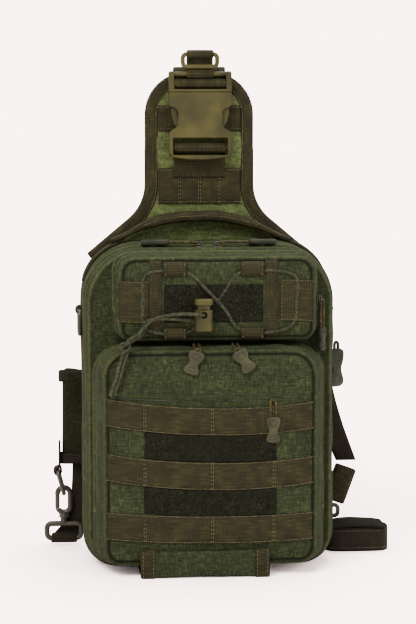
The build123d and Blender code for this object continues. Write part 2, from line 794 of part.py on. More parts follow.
def make_slip_slider():
    z = slip_edge - 2.0
    pieces["slip_slider"] = slider_body(slip_x, lower_face - 3.6, z, (9, 3.0, 4.4))
    pieces["slip_pull"] = hanging_pull(slip_x, lower_face - 7, z - 2.0, 25, 13, 17, 0)


def make_upper_slider():
    """Slider at the right end of the upper pocket's zip, with its hanging pull."""
    x = upper_shift + upper_width / 2 + part_gap
    z = upper_zip_end + 6
    body = slider_body(x + 1.5, upper_zip, z, (3, 7, 9))
    pull = Rot(0, 0, 90) * hanging_pull(0, 0, 0, 23, 11, 27, 0)
    pieces["upper_slider"] = body + Pos(x + 3.9, upper_zip, z - 2) * pull


def make_main_slider():
    """Slider on the right run of the rear compartment's zip, and its large pull."""
    x = body_width / 2 + part_gap
    z = main_slider_z
    body = slider_body(x + 1.7, main_zip, z, (3.4, 8, 10))
    bail_x, bail_z = x + 6.0, z - 4.0
    plane = Plane(origin=(bail_x, main_zip, bail_z), x_dir=(1, 0, 0), z_dir=(0, -1, 0))
    pieces["main_slider"] = body + rounded_loop(plane, 8.4, 7.6, 1.6, 2.0, 3.0, 0.5)
    pull = Rot(0, 0, 90) * hanging_pull(0, 0, 0, 37, 19, 8, 0)
    pieces["main_pull"] = Pos(bail_x + 0.9, main_zip, bail_z - 0.9) * pull


# ---------------------------------------------------------------- shoulder strap and ends
def make_shoulder_strap():
    """Padded strap that hangs behind the back panel, with a sleeve near its lower end."""
    half = 24
    centre = [(yoke_shift, 405), (yoke_shift - 4, 350), (strap_left + 41, 150), (strap_left + 35, 96)]
    left = [(x - half, z) for x, z in centre]
    right = [(x + half, z) for x, z in reversed(centre)]
    face = make_face(Polyline(*left, *right, close=True))
    strap = slab(face, strap_rear, strap_rear - 6)
    sleeve = soft_block(
        strap_left, strap_left + 64, strap_rear - 9.5, strap_rear + 3, sleeve_low, sleeve_low + 92, 3
    )
    pieces["shoulder_strap_pad"] = strap + sleeve
    web = block(
        strap_left + 12, strap_left + 37, strap_rear - 2, strap_rear, foot_top - 1, sleeve_low - sewn_gap
    )
    foot_half = 12
    foot = block(
        hook_x - foot_half, hook_x + foot_half, hook_y - 4.8, strap_rear, foot_low, foot_top
    )
    tunnel = block(
        hook_x - 20, hook_x + 20, hook_y - 2.9, hook_y + 2.9, foot_low + webbing, foot_top - webbing
    )
    ring_x, ring_z = hook_ring_top
    hoop_plane = Plane(origin=(ring_x, hook_y - 8, ring_z), x_dir=(1, 0, 0), z_dir=(0, 1, 0))
    hoop = extrude(hoop_plane * (Circle(4.0) - Circle(2.5)), amount=16)
    x1 = strap_left - sewn_gap
    hanger = block(x1 - 1.6, x1, hook_y - 8, hook_y + 8, ring_z + 2.6, sleeve_low + 22)
    hanger = hanger - hoop_core(hoop_plane)
    pieces["shoulder_strap_webbing"] = web + (foot - tunnel) + hoop + hanger


def hoop_core(plane):
    """The space inside the hanger's hoop, which stays open for the ring."""
    return extrude(plane * Circle(2.5), amount=16)


def make_hook():
    """Swivel snap hook at the strap's lower end, its gate, and the ring that it holds."""
    x, y = hook_x, hook_y
    base_plane = Plane(origin=(x, y, hook_base_z), x_dir=(1, 0, 0), z_dir=(0, -1, 0))
    base = rounded_loop(base_plane, 38, 19, hook_rod, 5.0, 7.0, 1.8)
    post = Pos(x, y, hook_base_z + 11) * Cylinder(3.2, 4.4)
    pieces["hook_base"] = base + post
    hook_plane = Plane(origin=(x, y, hook_middle), x_dir=(1, 0, 0), z_dir=(0, -1, 0))
    loop = rounded_loop(hook_plane, 17, hook_length, hook_rod, 5.4, 8.3, 1.9)
    low, high = gate_low - 0.6, gate_low + gate_length + 0.5
    gate_room = block(x - 12, x - 2.0, y - 6, y + 6, low, high)
    collar = Pos(x, y, hook_base_z + 15.8) * Cylinder(4.6, 4.2)
    pieces["snap_hook"] = loop - gate_room + collar
    gate = block(x - 8.3, x - 4.4, y - 2.0, y + 2.0, gate_low, gate_low + gate_length)
    pieces["hook_gate"] = fillet(gate.edges(), 1.2)
    middle = Pos(hook_ring_x, y, hook_ring_z) * Rot(0, -hook_ring_lean, 0)
    flat_ring = rounded_loop(Plane.YZ, 26, hook_ring_length, hook_ring_rod, hook_ring_rod, 6, 1.5)
    pieces["hook_ring"] = middle * flat_ring


def make_right_end():
    """What hangs and lies at the right: the strap's free tail, a keeper and folded webbing."""
    reach = ((-18, 196), (5, 196), (11, 166), (22, 118), (36, 81), (16.5, 81), (0, 128))
    tail_points = [(body_width / 2 + dx, z) for dx, z in reach]
    tail = make_face(Polyline(*tail_points, close=True))
    pieces["strap_tail"] = slab(tail, tail_rear, tail_rear - webbing)
    lean = Pos(keeper_x, keeper_y, 61) * Rot(0, 20, 0)
    pieces["webbing_keeper"] = lean * (Box(22, 12, 35) - Box(22 - 2 * webbing, 12 - 2 * webbing, 40))
    long_side, deep, height = 62, 34, 23
    racetrack = fillet(Rectangle(long_side, deep).vertices(), 12)
    fold = 2.4  # two layers of webbing
    hollow = fillet(Rectangle(long_side - 2 * fold, deep - 2 * fold).vertices(), 12 - fold)
    floor = Plane(origin=(floor_x, floor_y, 0), x_dir=(1, 0, 0), z_dir=(0, 0, 1))
    band = extrude(floor * (racetrack - hollow), amount=height)
    flap_face = fillet(Rectangle(long_side - 8, deep + 6).vertices(), 6)
    flap = extrude(Pos(0, 2, height + sewn_gap) * floor * flap_face, amount=3.2)
    pieces["floor_webbing"] = band + flap
    clip = Plane(origin=(keeper_x - 8, keeper_y, 34.5), x_dir=(1, 0, 0), z_dir=(0, -1, 0))
    pieces["keeper_clip"] = rounded_loop(clip, 16, 14, 3.4, 4.6, 5.5, 1.3)


# ---------------------------------------------------------------- shared positions
yoke_base = body_height - 17.0
yoke_band_low = 337.0
yoke_band_high = 407.0
buckle_y = back_inner + 1 - binding_thickness - buckle_gap - buckle_thickness / 2
female_bar_z = buckle_bottom + 11.5
slot_low = buckle_bottom + 4.6
slot_high = buckle_bottom + 21.5
male_bar_z = buckle_mouth + 8.4
top_bar_z = buckle_top - 2.6
prong_root = 19.5
ring_rod = 4.2
dring_height = 16.0
dring_axis = (buckle_y, buckle_top + 2.2 + dring_height - ring_rod / 2)
side_ring_y = main_depth - 11.0
side_ring_z = body_height - 64.0

strap_x0, strap_x1, strap_end = -68.0, 51.0, 13.5
field_x0, field_x1 = -63.0, 60.0
slip_edge, slip_seam = 168.0, 193.0
slip_x = 54.0
slider_x = (-15.0, 21.0)
pull_standoff = 4.6  # how far the lower pocket's pulls hang in front of its face
main_slider_z = body_height - 92.0

loop_x = (-45.5, -24.5, 26.0, 47.0)
keeper_low, keeper_high = 230.5, 277.5
keeper_rear = upper_face - 2 * sewn_gap - 1.2
keeper_room = cord_diameter + 0.8
cord_low, cord_high = 233.0, 277.0
cord_left, cord_right = -65.0, 78.5
face_webs = (
    (-58.5, -47.0, upper_bottom + 2, upper_top - 6),
    (48.5, 60.0, upper_bottom + 2, upper_top - 6),
    (-86.0, -59.0, cord_low + 1, cord_high - 3),
    (60.5, 91.0, cord_low + 1, cord_high - 3),
)
lock_x = -9.0
lock_depth = upper_face - 1.6 - cord_diameter - 6.2
lock_bottom = 227.5
lock_hole = 243.0
knot = (-82.0, lower_face - 7.6, 215.5)

handle_y = 34.0
handle_depth = 14.0
handle_height = 5.0
handle_line = [(-90, 303), (-58, 318), (-24, 326), (14, 326), (46, 319), (82, 303)]

strap_rear = back_outer + 16.0
strap_left = -body_width / 2 - 23.0
sleeve_low = 81.0
foot_low, foot_top = 2.6, 11.2
hook_x, hook_y = strap_left + 3.0, strap_rear - 6.0
hook_rod = 4.6
hook_base_z = 14.2
hook_middle = 45.0
hook_length = 29.0
gate_low, gate_length = 37.0, 13.0
hook_ring_rod = 3.6
hook_ring_length = 26.0
hook_ring_lean = 15.0
ring_reach = (hook_ring_length - hook_ring_rod) / 2
ring_dx = ring_reach * math.sin(math.radians(hook_ring_lean))
ring_dz = ring_reach * math.cos(math.radians(hook_ring_lean))
hook_top = hook_middle + hook_length / 2
hook_ring_x = hook_x - ring_dx
hook_ring_z = hook_top - hook_rod - part_gap - hook_ring_rod / 2 + ring_dz
hook_ring_top = (hook_ring_x - ring_dx, hook_ring_z + ring_dz)
tail_rear = back_outer + 8.0
keeper_x, keeper_y = body_width / 2 + 18.0, back_inner
floor_x, floor_y = keeper_x + 14.0, keeper_y - 16.0


def main():
    make_back()
    make_middle()
    make_front()
    make_base_webbing()
    make_bottom_strap()
    make_lower_flap()
    make_upper_flap()
    make_bungee()
    make_bungee_tail()
    make_cord_lock()
    make_yoke()
    make_buckle()
    make_male_webbing()
    make_rings()
    make_side_tabs()
    make_handle()
    make_top_sliders()
    make_lower_sliders()
    make_slip_slider()
    make_upper_slider()
    make_main_slider()
    make_shoulder_strap()
    make_hook()
    make_right_end()
    os.makedirs("parts", exist_ok=True)
    for name, shape in pieces.items():
        export_step(shape, f"parts/{name}.step")
    print(len(pieces), "pieces")


main()
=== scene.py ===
import math
import bmesh
import bpy
import numpy as np
from mathutils import Matrix, Vector


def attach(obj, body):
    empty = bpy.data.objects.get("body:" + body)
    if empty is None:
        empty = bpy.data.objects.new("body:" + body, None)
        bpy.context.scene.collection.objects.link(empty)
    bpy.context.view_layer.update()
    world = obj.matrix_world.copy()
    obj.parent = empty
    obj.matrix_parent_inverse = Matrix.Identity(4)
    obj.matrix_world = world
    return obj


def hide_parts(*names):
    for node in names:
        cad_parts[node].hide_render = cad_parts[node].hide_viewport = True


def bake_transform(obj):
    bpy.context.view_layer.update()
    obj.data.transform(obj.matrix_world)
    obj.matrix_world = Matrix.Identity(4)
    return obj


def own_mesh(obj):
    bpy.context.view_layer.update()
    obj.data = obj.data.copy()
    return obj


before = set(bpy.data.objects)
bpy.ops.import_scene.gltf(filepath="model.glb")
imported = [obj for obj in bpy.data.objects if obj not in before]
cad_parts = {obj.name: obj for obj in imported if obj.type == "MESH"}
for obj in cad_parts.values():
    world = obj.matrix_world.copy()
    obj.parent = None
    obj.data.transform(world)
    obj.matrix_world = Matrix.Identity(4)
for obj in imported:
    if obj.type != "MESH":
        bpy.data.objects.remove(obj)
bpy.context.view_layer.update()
mm = 0.001  # lengths below are millimetres, and meshes are written in metres


def hexColour(code):
    parts = [int(code[i:i + 2], 16) / 255 for i in (1, 3, 5)]
    linear = [p / 12.92 if p <= 0.04045 else ((p + 0.055) / 1.055) ** 2.4 for p in parts]
    return (*linear, 1.0)


def addNode(tree, kind, settings=None, out=0):
    # settings holds properties, socket values, links and colour stops alike, in the order they are set
    node = tree.nodes.new(kind)
    for key, value in (settings or {}).items():
        if key == "stops":
            band = node.color_ramp
            while len(band.elements) < len(value):
                band.elements.new(0.5)
            for element, (place, colour) in zip(band.elements, value):
                element.position, element.color = place, hexColour(colour)
        elif isinstance(key, str) and key not in node.inputs:
            setattr(node, key, value)
        elif isinstance(value, bpy.types.NodeSocket):
            tree.links.new(value, node.inputs[key])
        else:
            node.inputs[key].default_value = value
    return node.outputs[out] if node.outputs else node


def startMaterial(name, settings):
    material = bpy.data.materials.new(name)
    material.use_nodes = True
    shader = material.node_tree.nodes["Principled BSDF"]
    for key, value in settings.items():
        shader.inputs[key].default_value = value
    return material, material.node_tree, shader


# garment-washed cotton duck: matte and flecked, blotchy over a few centimetres, rubbed pale on ridges,
# with painted shade where it turns into its seams; its threads are 0.6 mm apart in truth and drawn at 1.5 mm
# so that they show
canvasSettings = {"dark": "#11150c", "base": "#1a2012", "light": "#292f1d", "rubbed": "#3a4229",
                  "blotch": 38, "fleck": 1.7, "thread": 1.5}


def washedCanvas(name, s, onCloth=True):
    material, tree, shader = startMaterial(name, {"Roughness": 1.0, "Specular IOR Level": 0.06})
    place = addNode(tree, "ShaderNodeUVMap", {"uv_map": "cloth"}) if onCloth else (
        addNode(tree, "ShaderNodeTexCoord", out=3))
    blotch = addNode(tree, "ShaderNodeTexNoise", {"Vector": place, "Scale": 1000 / s["blotch"],
                                                  "Detail": 3.0})
    long = addNode(tree, "ShaderNodeMapping", {"Vector": place, "Scale": (1.0, 0.25, 0.6)})
    warp = addNode(tree, "ShaderNodeTexNoise", {"Vector": long, "Scale": 1000 / s["fleck"], "Detail": 2.0})
    wide = addNode(tree, "ShaderNodeMapping", {"Vector": place, "Scale": (0.25, 1.0, 1.0)})
    weft = addNode(tree, "ShaderNodeTexNoise", {"Vector": wide, "Scale": 1000 / s["fleck"], "Detail": 2.0})
    fleck = addNode(tree, "ShaderNodeMath", {"operation": "ADD", 0: warp, 1: weft})
    part = addNode(tree, "ShaderNodeMath", {"operation": "MULTIPLY", 0: fleck, 1: 0.39})
    tone = addNode(tree, "ShaderNodeMath", {"operation": "MULTIPLY_ADD", 0: blotch, 1: 0.22, 2: part})
    cloth = addNode(tree, "ShaderNodeValToRGB", {"Fac": tone, "stops": [
        (0.36, s["dark"]), (0.5, s["base"]), (0.64, s["light"])]})
    # the attribute holds rubbed wear above zero and painted shade below zero
    wear = addNode(tree, "ShaderNodeAttribute", {"attribute_name": "wear"}, out=2)
    rub = addNode(tree, "ShaderNodeMath", {"operation": "MULTIPLY", "use_clamp": True, 0: wear, 1: fleck})
    # painted shade: below zero the attribute marks where the cloth turns into a seam, and that groove is
    # mixed towards near black
    groove = addNode(tree, "ShaderNodeMath", {"operation": "MULTIPLY", "use_clamp": True, 0: wear, 1: -1.0})
    worn = addNode(tree, "ShaderNodeMix", {"data_type": "RGBA", 0: rub, 6: cloth, 7: hexColour(s["rubbed"])},
                   out=2)
    shown = addNode(tree, "ShaderNodeMix", {"data_type": "RGBA", 0: groove, 6: worn,
                                            7: hexColour("#0c0e08")}, out=2)
    tree.links.new(shown, shader.inputs["Base Color"])
    bands = {"Vector": place, "Scale": math.tau / 20 / (s["thread"] * mm), "Distortion": 0.8, "Detail": 1.0}
    across = addNode(tree, "ShaderNodeTexWave", {"bands_direction": "X", **bands}, out=1)
    along = addNode(tree, "ShaderNodeTexWave", {"bands_direction": "Y" if onCloth else "Z", **bands}, out=1)
    weave = addNode(tree, "ShaderNodeMath", {"operation": "MAXIMUM", 0: across, 1: along})
    grain = addNode(tree, "ShaderNodeBump", {"Height": weave, "Strength": 0.35, "Distance": 0.2 * mm})
    fuzz = addNode(tree, "ShaderNodeBump", {"Height": fleck, "Strength": 0.5, "Distance": 0.4 * mm,
                                            "Normal": grain})
    tree.links.new(fuzz, shader.inputs["Normal"])
    return material


# woven nylon webbing: ribs 2.4 mm apart across its length, satin, with threads of mixed shades
webbingSettings = {"rib": 2.4, "streak": 1.6}


def ribbedWebbing(name, dark, base, light, s=webbingSettings):
    material, tree, shader = startMaterial(name, {"Roughness": 0.85, "Specular IOR Level": 0.12})
    place = addNode(tree, "ShaderNodeUVMap", {"uv_map": "cloth"})
    long = addNode(tree, "ShaderNodeMapping", {"Vector": place, "Scale": (1.0, 0.12, 1.0)})
    streak = addNode(tree, "ShaderNodeTexNoise", {"Vector": long, "Scale": 1000 / s["streak"], "Detail": 2.0})
    patch = addNode(tree, "ShaderNodeTexNoise", {"Vector": place, "Scale": 70.0, "Detail": 3.0})
    part = addNode(tree, "ShaderNodeMath", {"operation": "MULTIPLY", 0: patch, 1: 0.4})
    tone = addNode(tree, "ShaderNodeMath", {"operation": "MULTIPLY_ADD", 0: streak, 1: 0.6, 2: part})
    cloth = addNode(tree, "ShaderNodeValToRGB", {"Fac": tone,
                                                 "stops": [(0.38, dark), (0.5, base), (0.64, light)]})
    ribs = addNode(tree, "ShaderNodeTexWave", {"bands_direction": "Y", "Vector": place, "Distortion": 0.5,
                                               "Scale": math.tau / 20 / (s["rib"] * mm)}, out=1)
    shade = addNode(tree, "ShaderNodeMath", {"operation": "MULTIPLY", 0: ribs, 1: 0.65})
    shown = addNode(tree, "ShaderNodeMix", {"data_type": "RGBA", 0: shade, 6: cloth, 7: hexColour(dark)},
                    out=2)
    tree.links.new(shown, shader.inputs["Base Color"])
    groove = addNode(tree, "ShaderNodeBump", {"Height": ribs, "Strength": 0.6, "Distance": 0.35 * mm})
    fine = addNode(tree, "ShaderNodeBump", {"Height": streak, "Strength": 0.3, "Distance": 0.25 * mm,
                                            "Normal": groove})
    tree.links.new(fine, shader.inputs["Normal"])
    return material


def loopPile(name, dark, base, light):
    # napped loop fabric: curled fibres about 1 mm long that swallow light, with a few pale tips
    material, tree, shader = startMaterial(name, {"Roughness": 1.0, "Specular IOR Level": 0.05})
    place = addNode(tree, "ShaderNodeTexCoord", out=3)
    curl = addNode(tree, "ShaderNodeTexNoise", {"Vector": place, "Scale": 1100.0, "Detail": 3.0,
                                                "Roughness": 0.7})
    tuft = addNode(tree, "ShaderNodeTexNoise", {"Vector": place, "Scale": 200.0, "Detail": 3.0})
    part = addNode(tree, "ShaderNodeMath", {"operation": "MULTIPLY", 0: curl, 1: 0.85})
    half = addNode(tree, "ShaderNodeMath", {"operation": "MULTIPLY_ADD", 0: tuft, 1: 0.15, 2: part})
    shown = addNode(tree, "ShaderNodeValToRGB", {"Fac": half,
                                                 "stops": [(0.44, dark), (0.5, base), (0.58, light)]})
    tree.links.new(shown, shader.inputs["Base Color"])
    bump = addNode(tree, "ShaderNodeBump", {"Height": half, "Strength": 1.0, "Distance": 1.2 * mm})
    tree.links.new(bump, shader.inputs["Normal"])
    return material


def braidedCord(name, pick, dark, base, light):
    # polyester braid over an elastic core: picks about pick millimetres long, with painted light on their
    # crowns and painted shade between them
    material, tree, shader = startMaterial(name, {"Roughness": 0.8, "Specular IOR Level": 0.12})
    place = addNode(tree, "ShaderNodeTexCoord", out=3)
    cells = addNode(tree, "ShaderNodeTexVoronoi", {"Vector": place, "Scale": 1000.0 / pick})
    dust = addNode(tree, "ShaderNodeTexNoise", {"Vector": place, "Scale": 300.0, "Detail": 2.0})
    tone = addNode(tree, "ShaderNodeMath", {"operation": "MULTIPLY_ADD", 0: cells, 1: 0.7, 2: dust})
    half = addNode(tree, "ShaderNodeMath", {"operation": "MULTIPLY", 0: tone, 1: 0.6})
    # painted light and shade: the ramp runs from light on the crowns to dark in the hollows between picks
    shown = addNode(tree, "ShaderNodeValToRGB", {"Fac": half,
                                                 "stops": [(0.3, light), (0.5, base), (0.72, dark)]})
    tree.links.new(shown, shader.inputs["Base Color"])
    crown = addNode(tree, "ShaderNodeMath", {"operation": "SUBTRACT", 0: 1.0, 1: cells})
    bump = addNode(tree, "ShaderNodeBump", {"Height": crown, "Strength": 0.7, "Distance": 0.5 * mm})
    tree.links.new(bump, shader.inputs["Normal"])
    return material


def moulded(name, dark, base, light, roughness, grain=0.35, level=0.3):
    # injection-moulded plastic: nearly even colour under a fine spark-eroded grain
    material, tree, shader = startMaterial(name, {"Roughness": roughness, "IOR": 1.48,
                                                  "Specular IOR Level": level})
    place = addNode(tree, "ShaderNodeTexCoord", out=3)
    cloud = addNode(tree, "ShaderNodeTexNoise", {"Vector": place, "Scale": 45.0, "Detail": 2.0})
    shown = addNode(tree, "ShaderNodeValToRGB", {"Fac": cloud,
                                                 "stops": [(0.3, dark), (0.5, base), (0.75, light)]})
    tree.links.new(shown, shader.inputs["Base Color"])
    speck = addNode(tree, "ShaderNodeTexNoise", {"Vector": place, "Scale": 1400.0, "Detail": 2.0})
    rough = addNode(tree, "ShaderNodeMapRange", {0: speck, 3: roughness - 0.08, 4: roughness + 0.1})
    tree.links.new(rough, shader.inputs["Roughness"])
    bump = addNode(tree, "ShaderNodeBump", {"Height": speck, "Strength": grain, "Distance": 0.05 * mm})
    tree.links.new(bump, shader.inputs["Normal"])
    return material


def sewingThread(name, dark, light):
    # bonded polyester thread: slightly shiny and uneven in tone
    material, tree, shader = startMaterial(name, {"Roughness": 0.55, "Specular IOR Level": 0.4})
    place = addNode(tree, "ShaderNodeTexCoord", out=3)
    tone = addNode(tree, "ShaderNodeTexNoise", {"Vector": place, "Scale": 260.0, "Detail": 2.0})
    shown = addNode(tree, "ShaderNodeValToRGB", {"Fac": tone, "stops": [(0.35, dark), (0.65, light)]})
    tree.links.new(shown, shader.inputs["Base Color"])
    return material


canvas = washedCanvas("washedCanvas", canvasSettings)
# a brighter copy of the canvas for the yoke pad: painted light against the shade that falls on it
paintedLightPads = washedCanvas("paintedLightCanvasPads", {**canvasSettings, "dark": "#232a16", "base": "#323a20",
                                               "light": "#434c2e"}, onCloth=False)
# a darker copy of the canvas for the pads at the back: painted shade
paintedShadePads = washedCanvas("shadedCanvasPads", {**canvasSettings, "dark": "#090b05", "base": "#0f1208",
                                             "light": "#181b10"}, onCloth=False)
brownWebbing = ribbedWebbing("oliveBrownWebbing", "#0f0f05", "#191807", "#28260f")
# a darker copy of the webbing for the straps and bands at the back and sides: painted shade
paintedShadeWebbing = ribbedWebbing("shadedWebbing", "#0b0904", "#110f06", "#19160a")
zipTape = ribbedWebbing("zipTape", "#080907", "#121310", "#1d1e1a", {"rib": 1.3, "streak": 1.5})
loopCloth = loopPile("loopFabric", "#060705", "#0b0c07", "#1c1e14")
cordBraid = braidedCord("braidedElastic", 2.2, "#12140c", "#1d2114", "#2c3120")
pullBraid = braidedCord("braidedPullCord", 1.6, "#141307", "#24210f", "#38341a")
acetal = moulded("oliveAcetal", "#1f1e0b", "#2a290f", "#353315", 0.55, level=0.14)
darkAcetal = moulded("darkOliveAcetal", "#0f0f07", "#17170b", "#222213", 0.36)
greyPull = moulded("pullRubber", "#17180d", "#212213", "#2c2d1b", 0.6, 0.6, 0.15)
darkPull = moulded("darkPullRubber", "#10120b", "#191b12", "#23261b", 0.6, 0.6, 0.12)
nylonCoil = moulded("nylonCoil", "#0d0e0d", "#191b1a", "#2a2c2a", 0.42)
paleThread = sewingThread("paleThread", "#262211", "#3c351c")
greenThread = sewingThread("greenThread", "#0c0e07", "#15190d")
print("materials ready")


def makeMesh(name, points, faces, material, uvs=None, wear=None):
    mesh = bpy.data.meshes.new(name)
    mesh.from_pydata((np.asarray(points, float) * mm).tolist(), [], faces)
    mesh.materials.append(material)
    mesh.polygons.foreach_set("use_smooth", [True] * len(mesh.polygons))
    if uvs is not None:
        layer = mesh.uv_layers.new(name="cloth")
        layer.data.foreach_set("uv", (np.asarray(uvs, float) * mm).ravel().astype(np.float32))
    if wear is not None:
        layer = mesh.attributes.new("wear", "FLOAT", "POINT")
        layer.data.foreach_set("value", np.asarray(wear, np.float32))
    piece = bpy.data.objects.new(name, mesh)
    bpy.context.scene.collection.objects.link(piece)
    return piece


def flattened(piece):
    # the evaluated shape as a plain mesh object of the same name
    bpy.context.view_layer.update()
    graph = bpy.context.evaluated_depsgraph_get()
    mesh = bpy.data.meshes.new_from_object(piece.evaluated_get(graph))
    name = piece.name
    bpy.data.objects.remove(piece)
    plain = bpy.data.objects.new(name, mesh)
    bpy.context.scene.collection.objects.link(plain)
    return plain


def thickened(piece, thickness):
    wall = piece.modifiers.new("wall", "SOLIDIFY")
    wall.thickness, wall.offset = thickness * mm, -1.0
    return flattened(piece)


def joined(name, pieces):
    # several pieces as one mesh, each face with the material it had
    whole, materials = bmesh.new(), []
    for piece in [flattened(p) for p in pieces]:
        start = len(whole.faces)
        mesh = piece.data
        whole.from_mesh(mesh)
        whole.faces.ensure_lookup_table()
        for face in whole.faces[start:]:
            material = mesh.materials[face.material_index]
            if material not in materials:
                materials.append(material)
            face.material_index = materials.index(material)
        bpy.data.objects.remove(piece)
    mesh = bpy.data.meshes.new(name)
    whole.to_mesh(mesh)
    whole.free()
    for material in materials:
        mesh.materials.append(material)
    result = bpy.data.objects.new(name, mesh)
    bpy.context.scene.collection.objects.link(result)
    return result


def settle(piece, body, nodes=()):
    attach(piece, body)
    if nodes:
        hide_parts(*nodes)
    return piece


def settleAcross(piece, first, second, start, end, nodes=(), slotName=None):
    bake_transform(piece)
    if nodes:
        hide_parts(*nodes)
    return piece


def cloudNoise(points, size, seed=0):
    # smooth noise from -1 to 1 at points, in lumps about size millimetres across
    place = np.asarray(points, float) / size + seed * 7.31
    cell = np.floor(place)
    part = place - cell
    part = part * part * (3 - 2 * part)
    total = np.zeros(len(place))
    for corner in range(8):
        offset = np.array([(corner >> k) & 1 for k in range(3)])
        mixed = np.sin((cell + offset) @ np.array([127.1, 311.7, 74.7]) + seed) * 43758.5453
        total += (mixed - np.floor(mixed)) * np.prod(np.where(offset, part, 1 - part), axis=1)
    return total * 2 - 1


def smoothPath(points, spacing=2.5):
    # an even run of places along a smooth curve through the given ones
    p = np.asarray(points, float)
    p = np.vstack([2 * p[0] - p[1], p, 2 * p[-1] - p[-2]])
    result = []
    for a, b, c, d in zip(p, p[1:], p[2:], p[3:]):
        steps = max(2, int(np.linalg.norm(c - b) / spacing))
        for t in np.arange(steps) / steps:
            result.append(0.5 * (2 * b + (c - a) * t + (2 * a - 5 * b + 4 * c - d) * t * t
                                 + (3 * b - a - 3 * c + d) * t ** 3))
    return np.array(result + [p[-2]])


def loft(name, sections, material, closed=False):
    # a skin over sections that all have the same number of points
    sections = [np.asarray(s, float) for s in sections]
    n, count = len(sections), len(sections[0])
    points = np.vstack(sections)
    middle = np.array([s.mean(axis=0) for s in sections])
    run = np.concatenate([[0], np.cumsum(np.linalg.norm(np.diff(middle, axis=0), axis=1))])
    girth = np.concatenate([[0], np.cumsum(np.linalg.norm(np.diff(np.vstack([sections[0], sections[0][:1]]),
                                                                  axis=0),
                                                         axis=1))])
    faces, uvs = [], []
    for i in range(n if closed else n - 1):
        a, b = i * count, ((i + 1) % n) * count
        there = run[i + 1] if i + 1 < n else run[i] + run[1]
        for j in range(count):
            k = (j + 1) % count
            faces.append([a + j, a + k, b + k, b + j])
            uvs.extend([(girth[j], run[i]), (girth[j + 1], run[i]), (girth[j + 1], there), (girth[j], there)])
    if not closed:
        for ring, turn in ((0, True), (n - 1, False)):
            face = [ring * count + j for j in range(count)]
            faces.append(face[::-1] if turn else face)
            uvs.extend([(girth[j], run[ring]) for j in range(count)])
    piece = makeMesh(name, points, faces, material, uvs)
    shape = bmesh.new()
    shape.from_mesh(piece.data)
    bmesh.ops.recalc_face_normals(shape, faces=shape.faces)
    shape.to_mesh(piece.data)
    shape.free()
    return piece


def ribbon(name, path, sides, width, thickness, material, closed=False):
    # a woven band that follows path, its width along sides; width may change along it
    path = np.asarray(path, float)
    n = len(path)
    sides = np.broadcast_to(np.asarray(sides, float), (n, 3))
    sides = sides / np.linalg.norm(sides, axis=1)[:, None]
    widths = np.broadcast_to(np.asarray(width, float), n)
    tangent = np.roll(path, -1, axis=0) - np.roll(path, 1, axis=0) if closed else np.gradient(path, axis=0)
    up = np.cross(sides, tangent)
    up /= np.linalg.norm(up, axis=1)[:, None]
    top = [(-1, 0.1), (-0.97, 0.42), (-0.6, 0.5), (-0.2, 0.5), (0.2, 0.5), (0.6, 0.5), (0.97, 0.42), (1, 0.1)]
    section = top + [(s, -t) for s, t in top[::-1]]
    rings = []
    for i in range(n):
        rings.append([path[i] + sides[i] * s * widths[i] / 2 + up[i] * (t * thickness)
                      for s, t in section])
    return loft(name, rings, material, closed)


def cordLine(name, route, diameter, material, cyclic=False):
    # a round cord on one NURBS line through the control points given in millimetres
    curve = bpy.data.curves.new(name, "CURVE")
    curve.dimensions = "3D"
    curve.resolution_u = 6
    curve.bevel_depth = diameter / 2 * mm
    curve.bevel_resolution = 3
    curve.use_fill_caps = True
    line = curve.splines.new("NURBS")
    line.points.add(len(route) - 1)
    for point, place in zip(line.points, route):
        point.co = (*[v * mm for v in place], 1.0)
    line.order_u = 3
    line.use_endpoint_u = not cyclic
    line.use_cyclic_u = cyclic
    curve.materials.append(material)
    piece = bpy.data.objects.new(name, curve)
    bpy.context.scene.collection.objects.link(piece)
    return piece


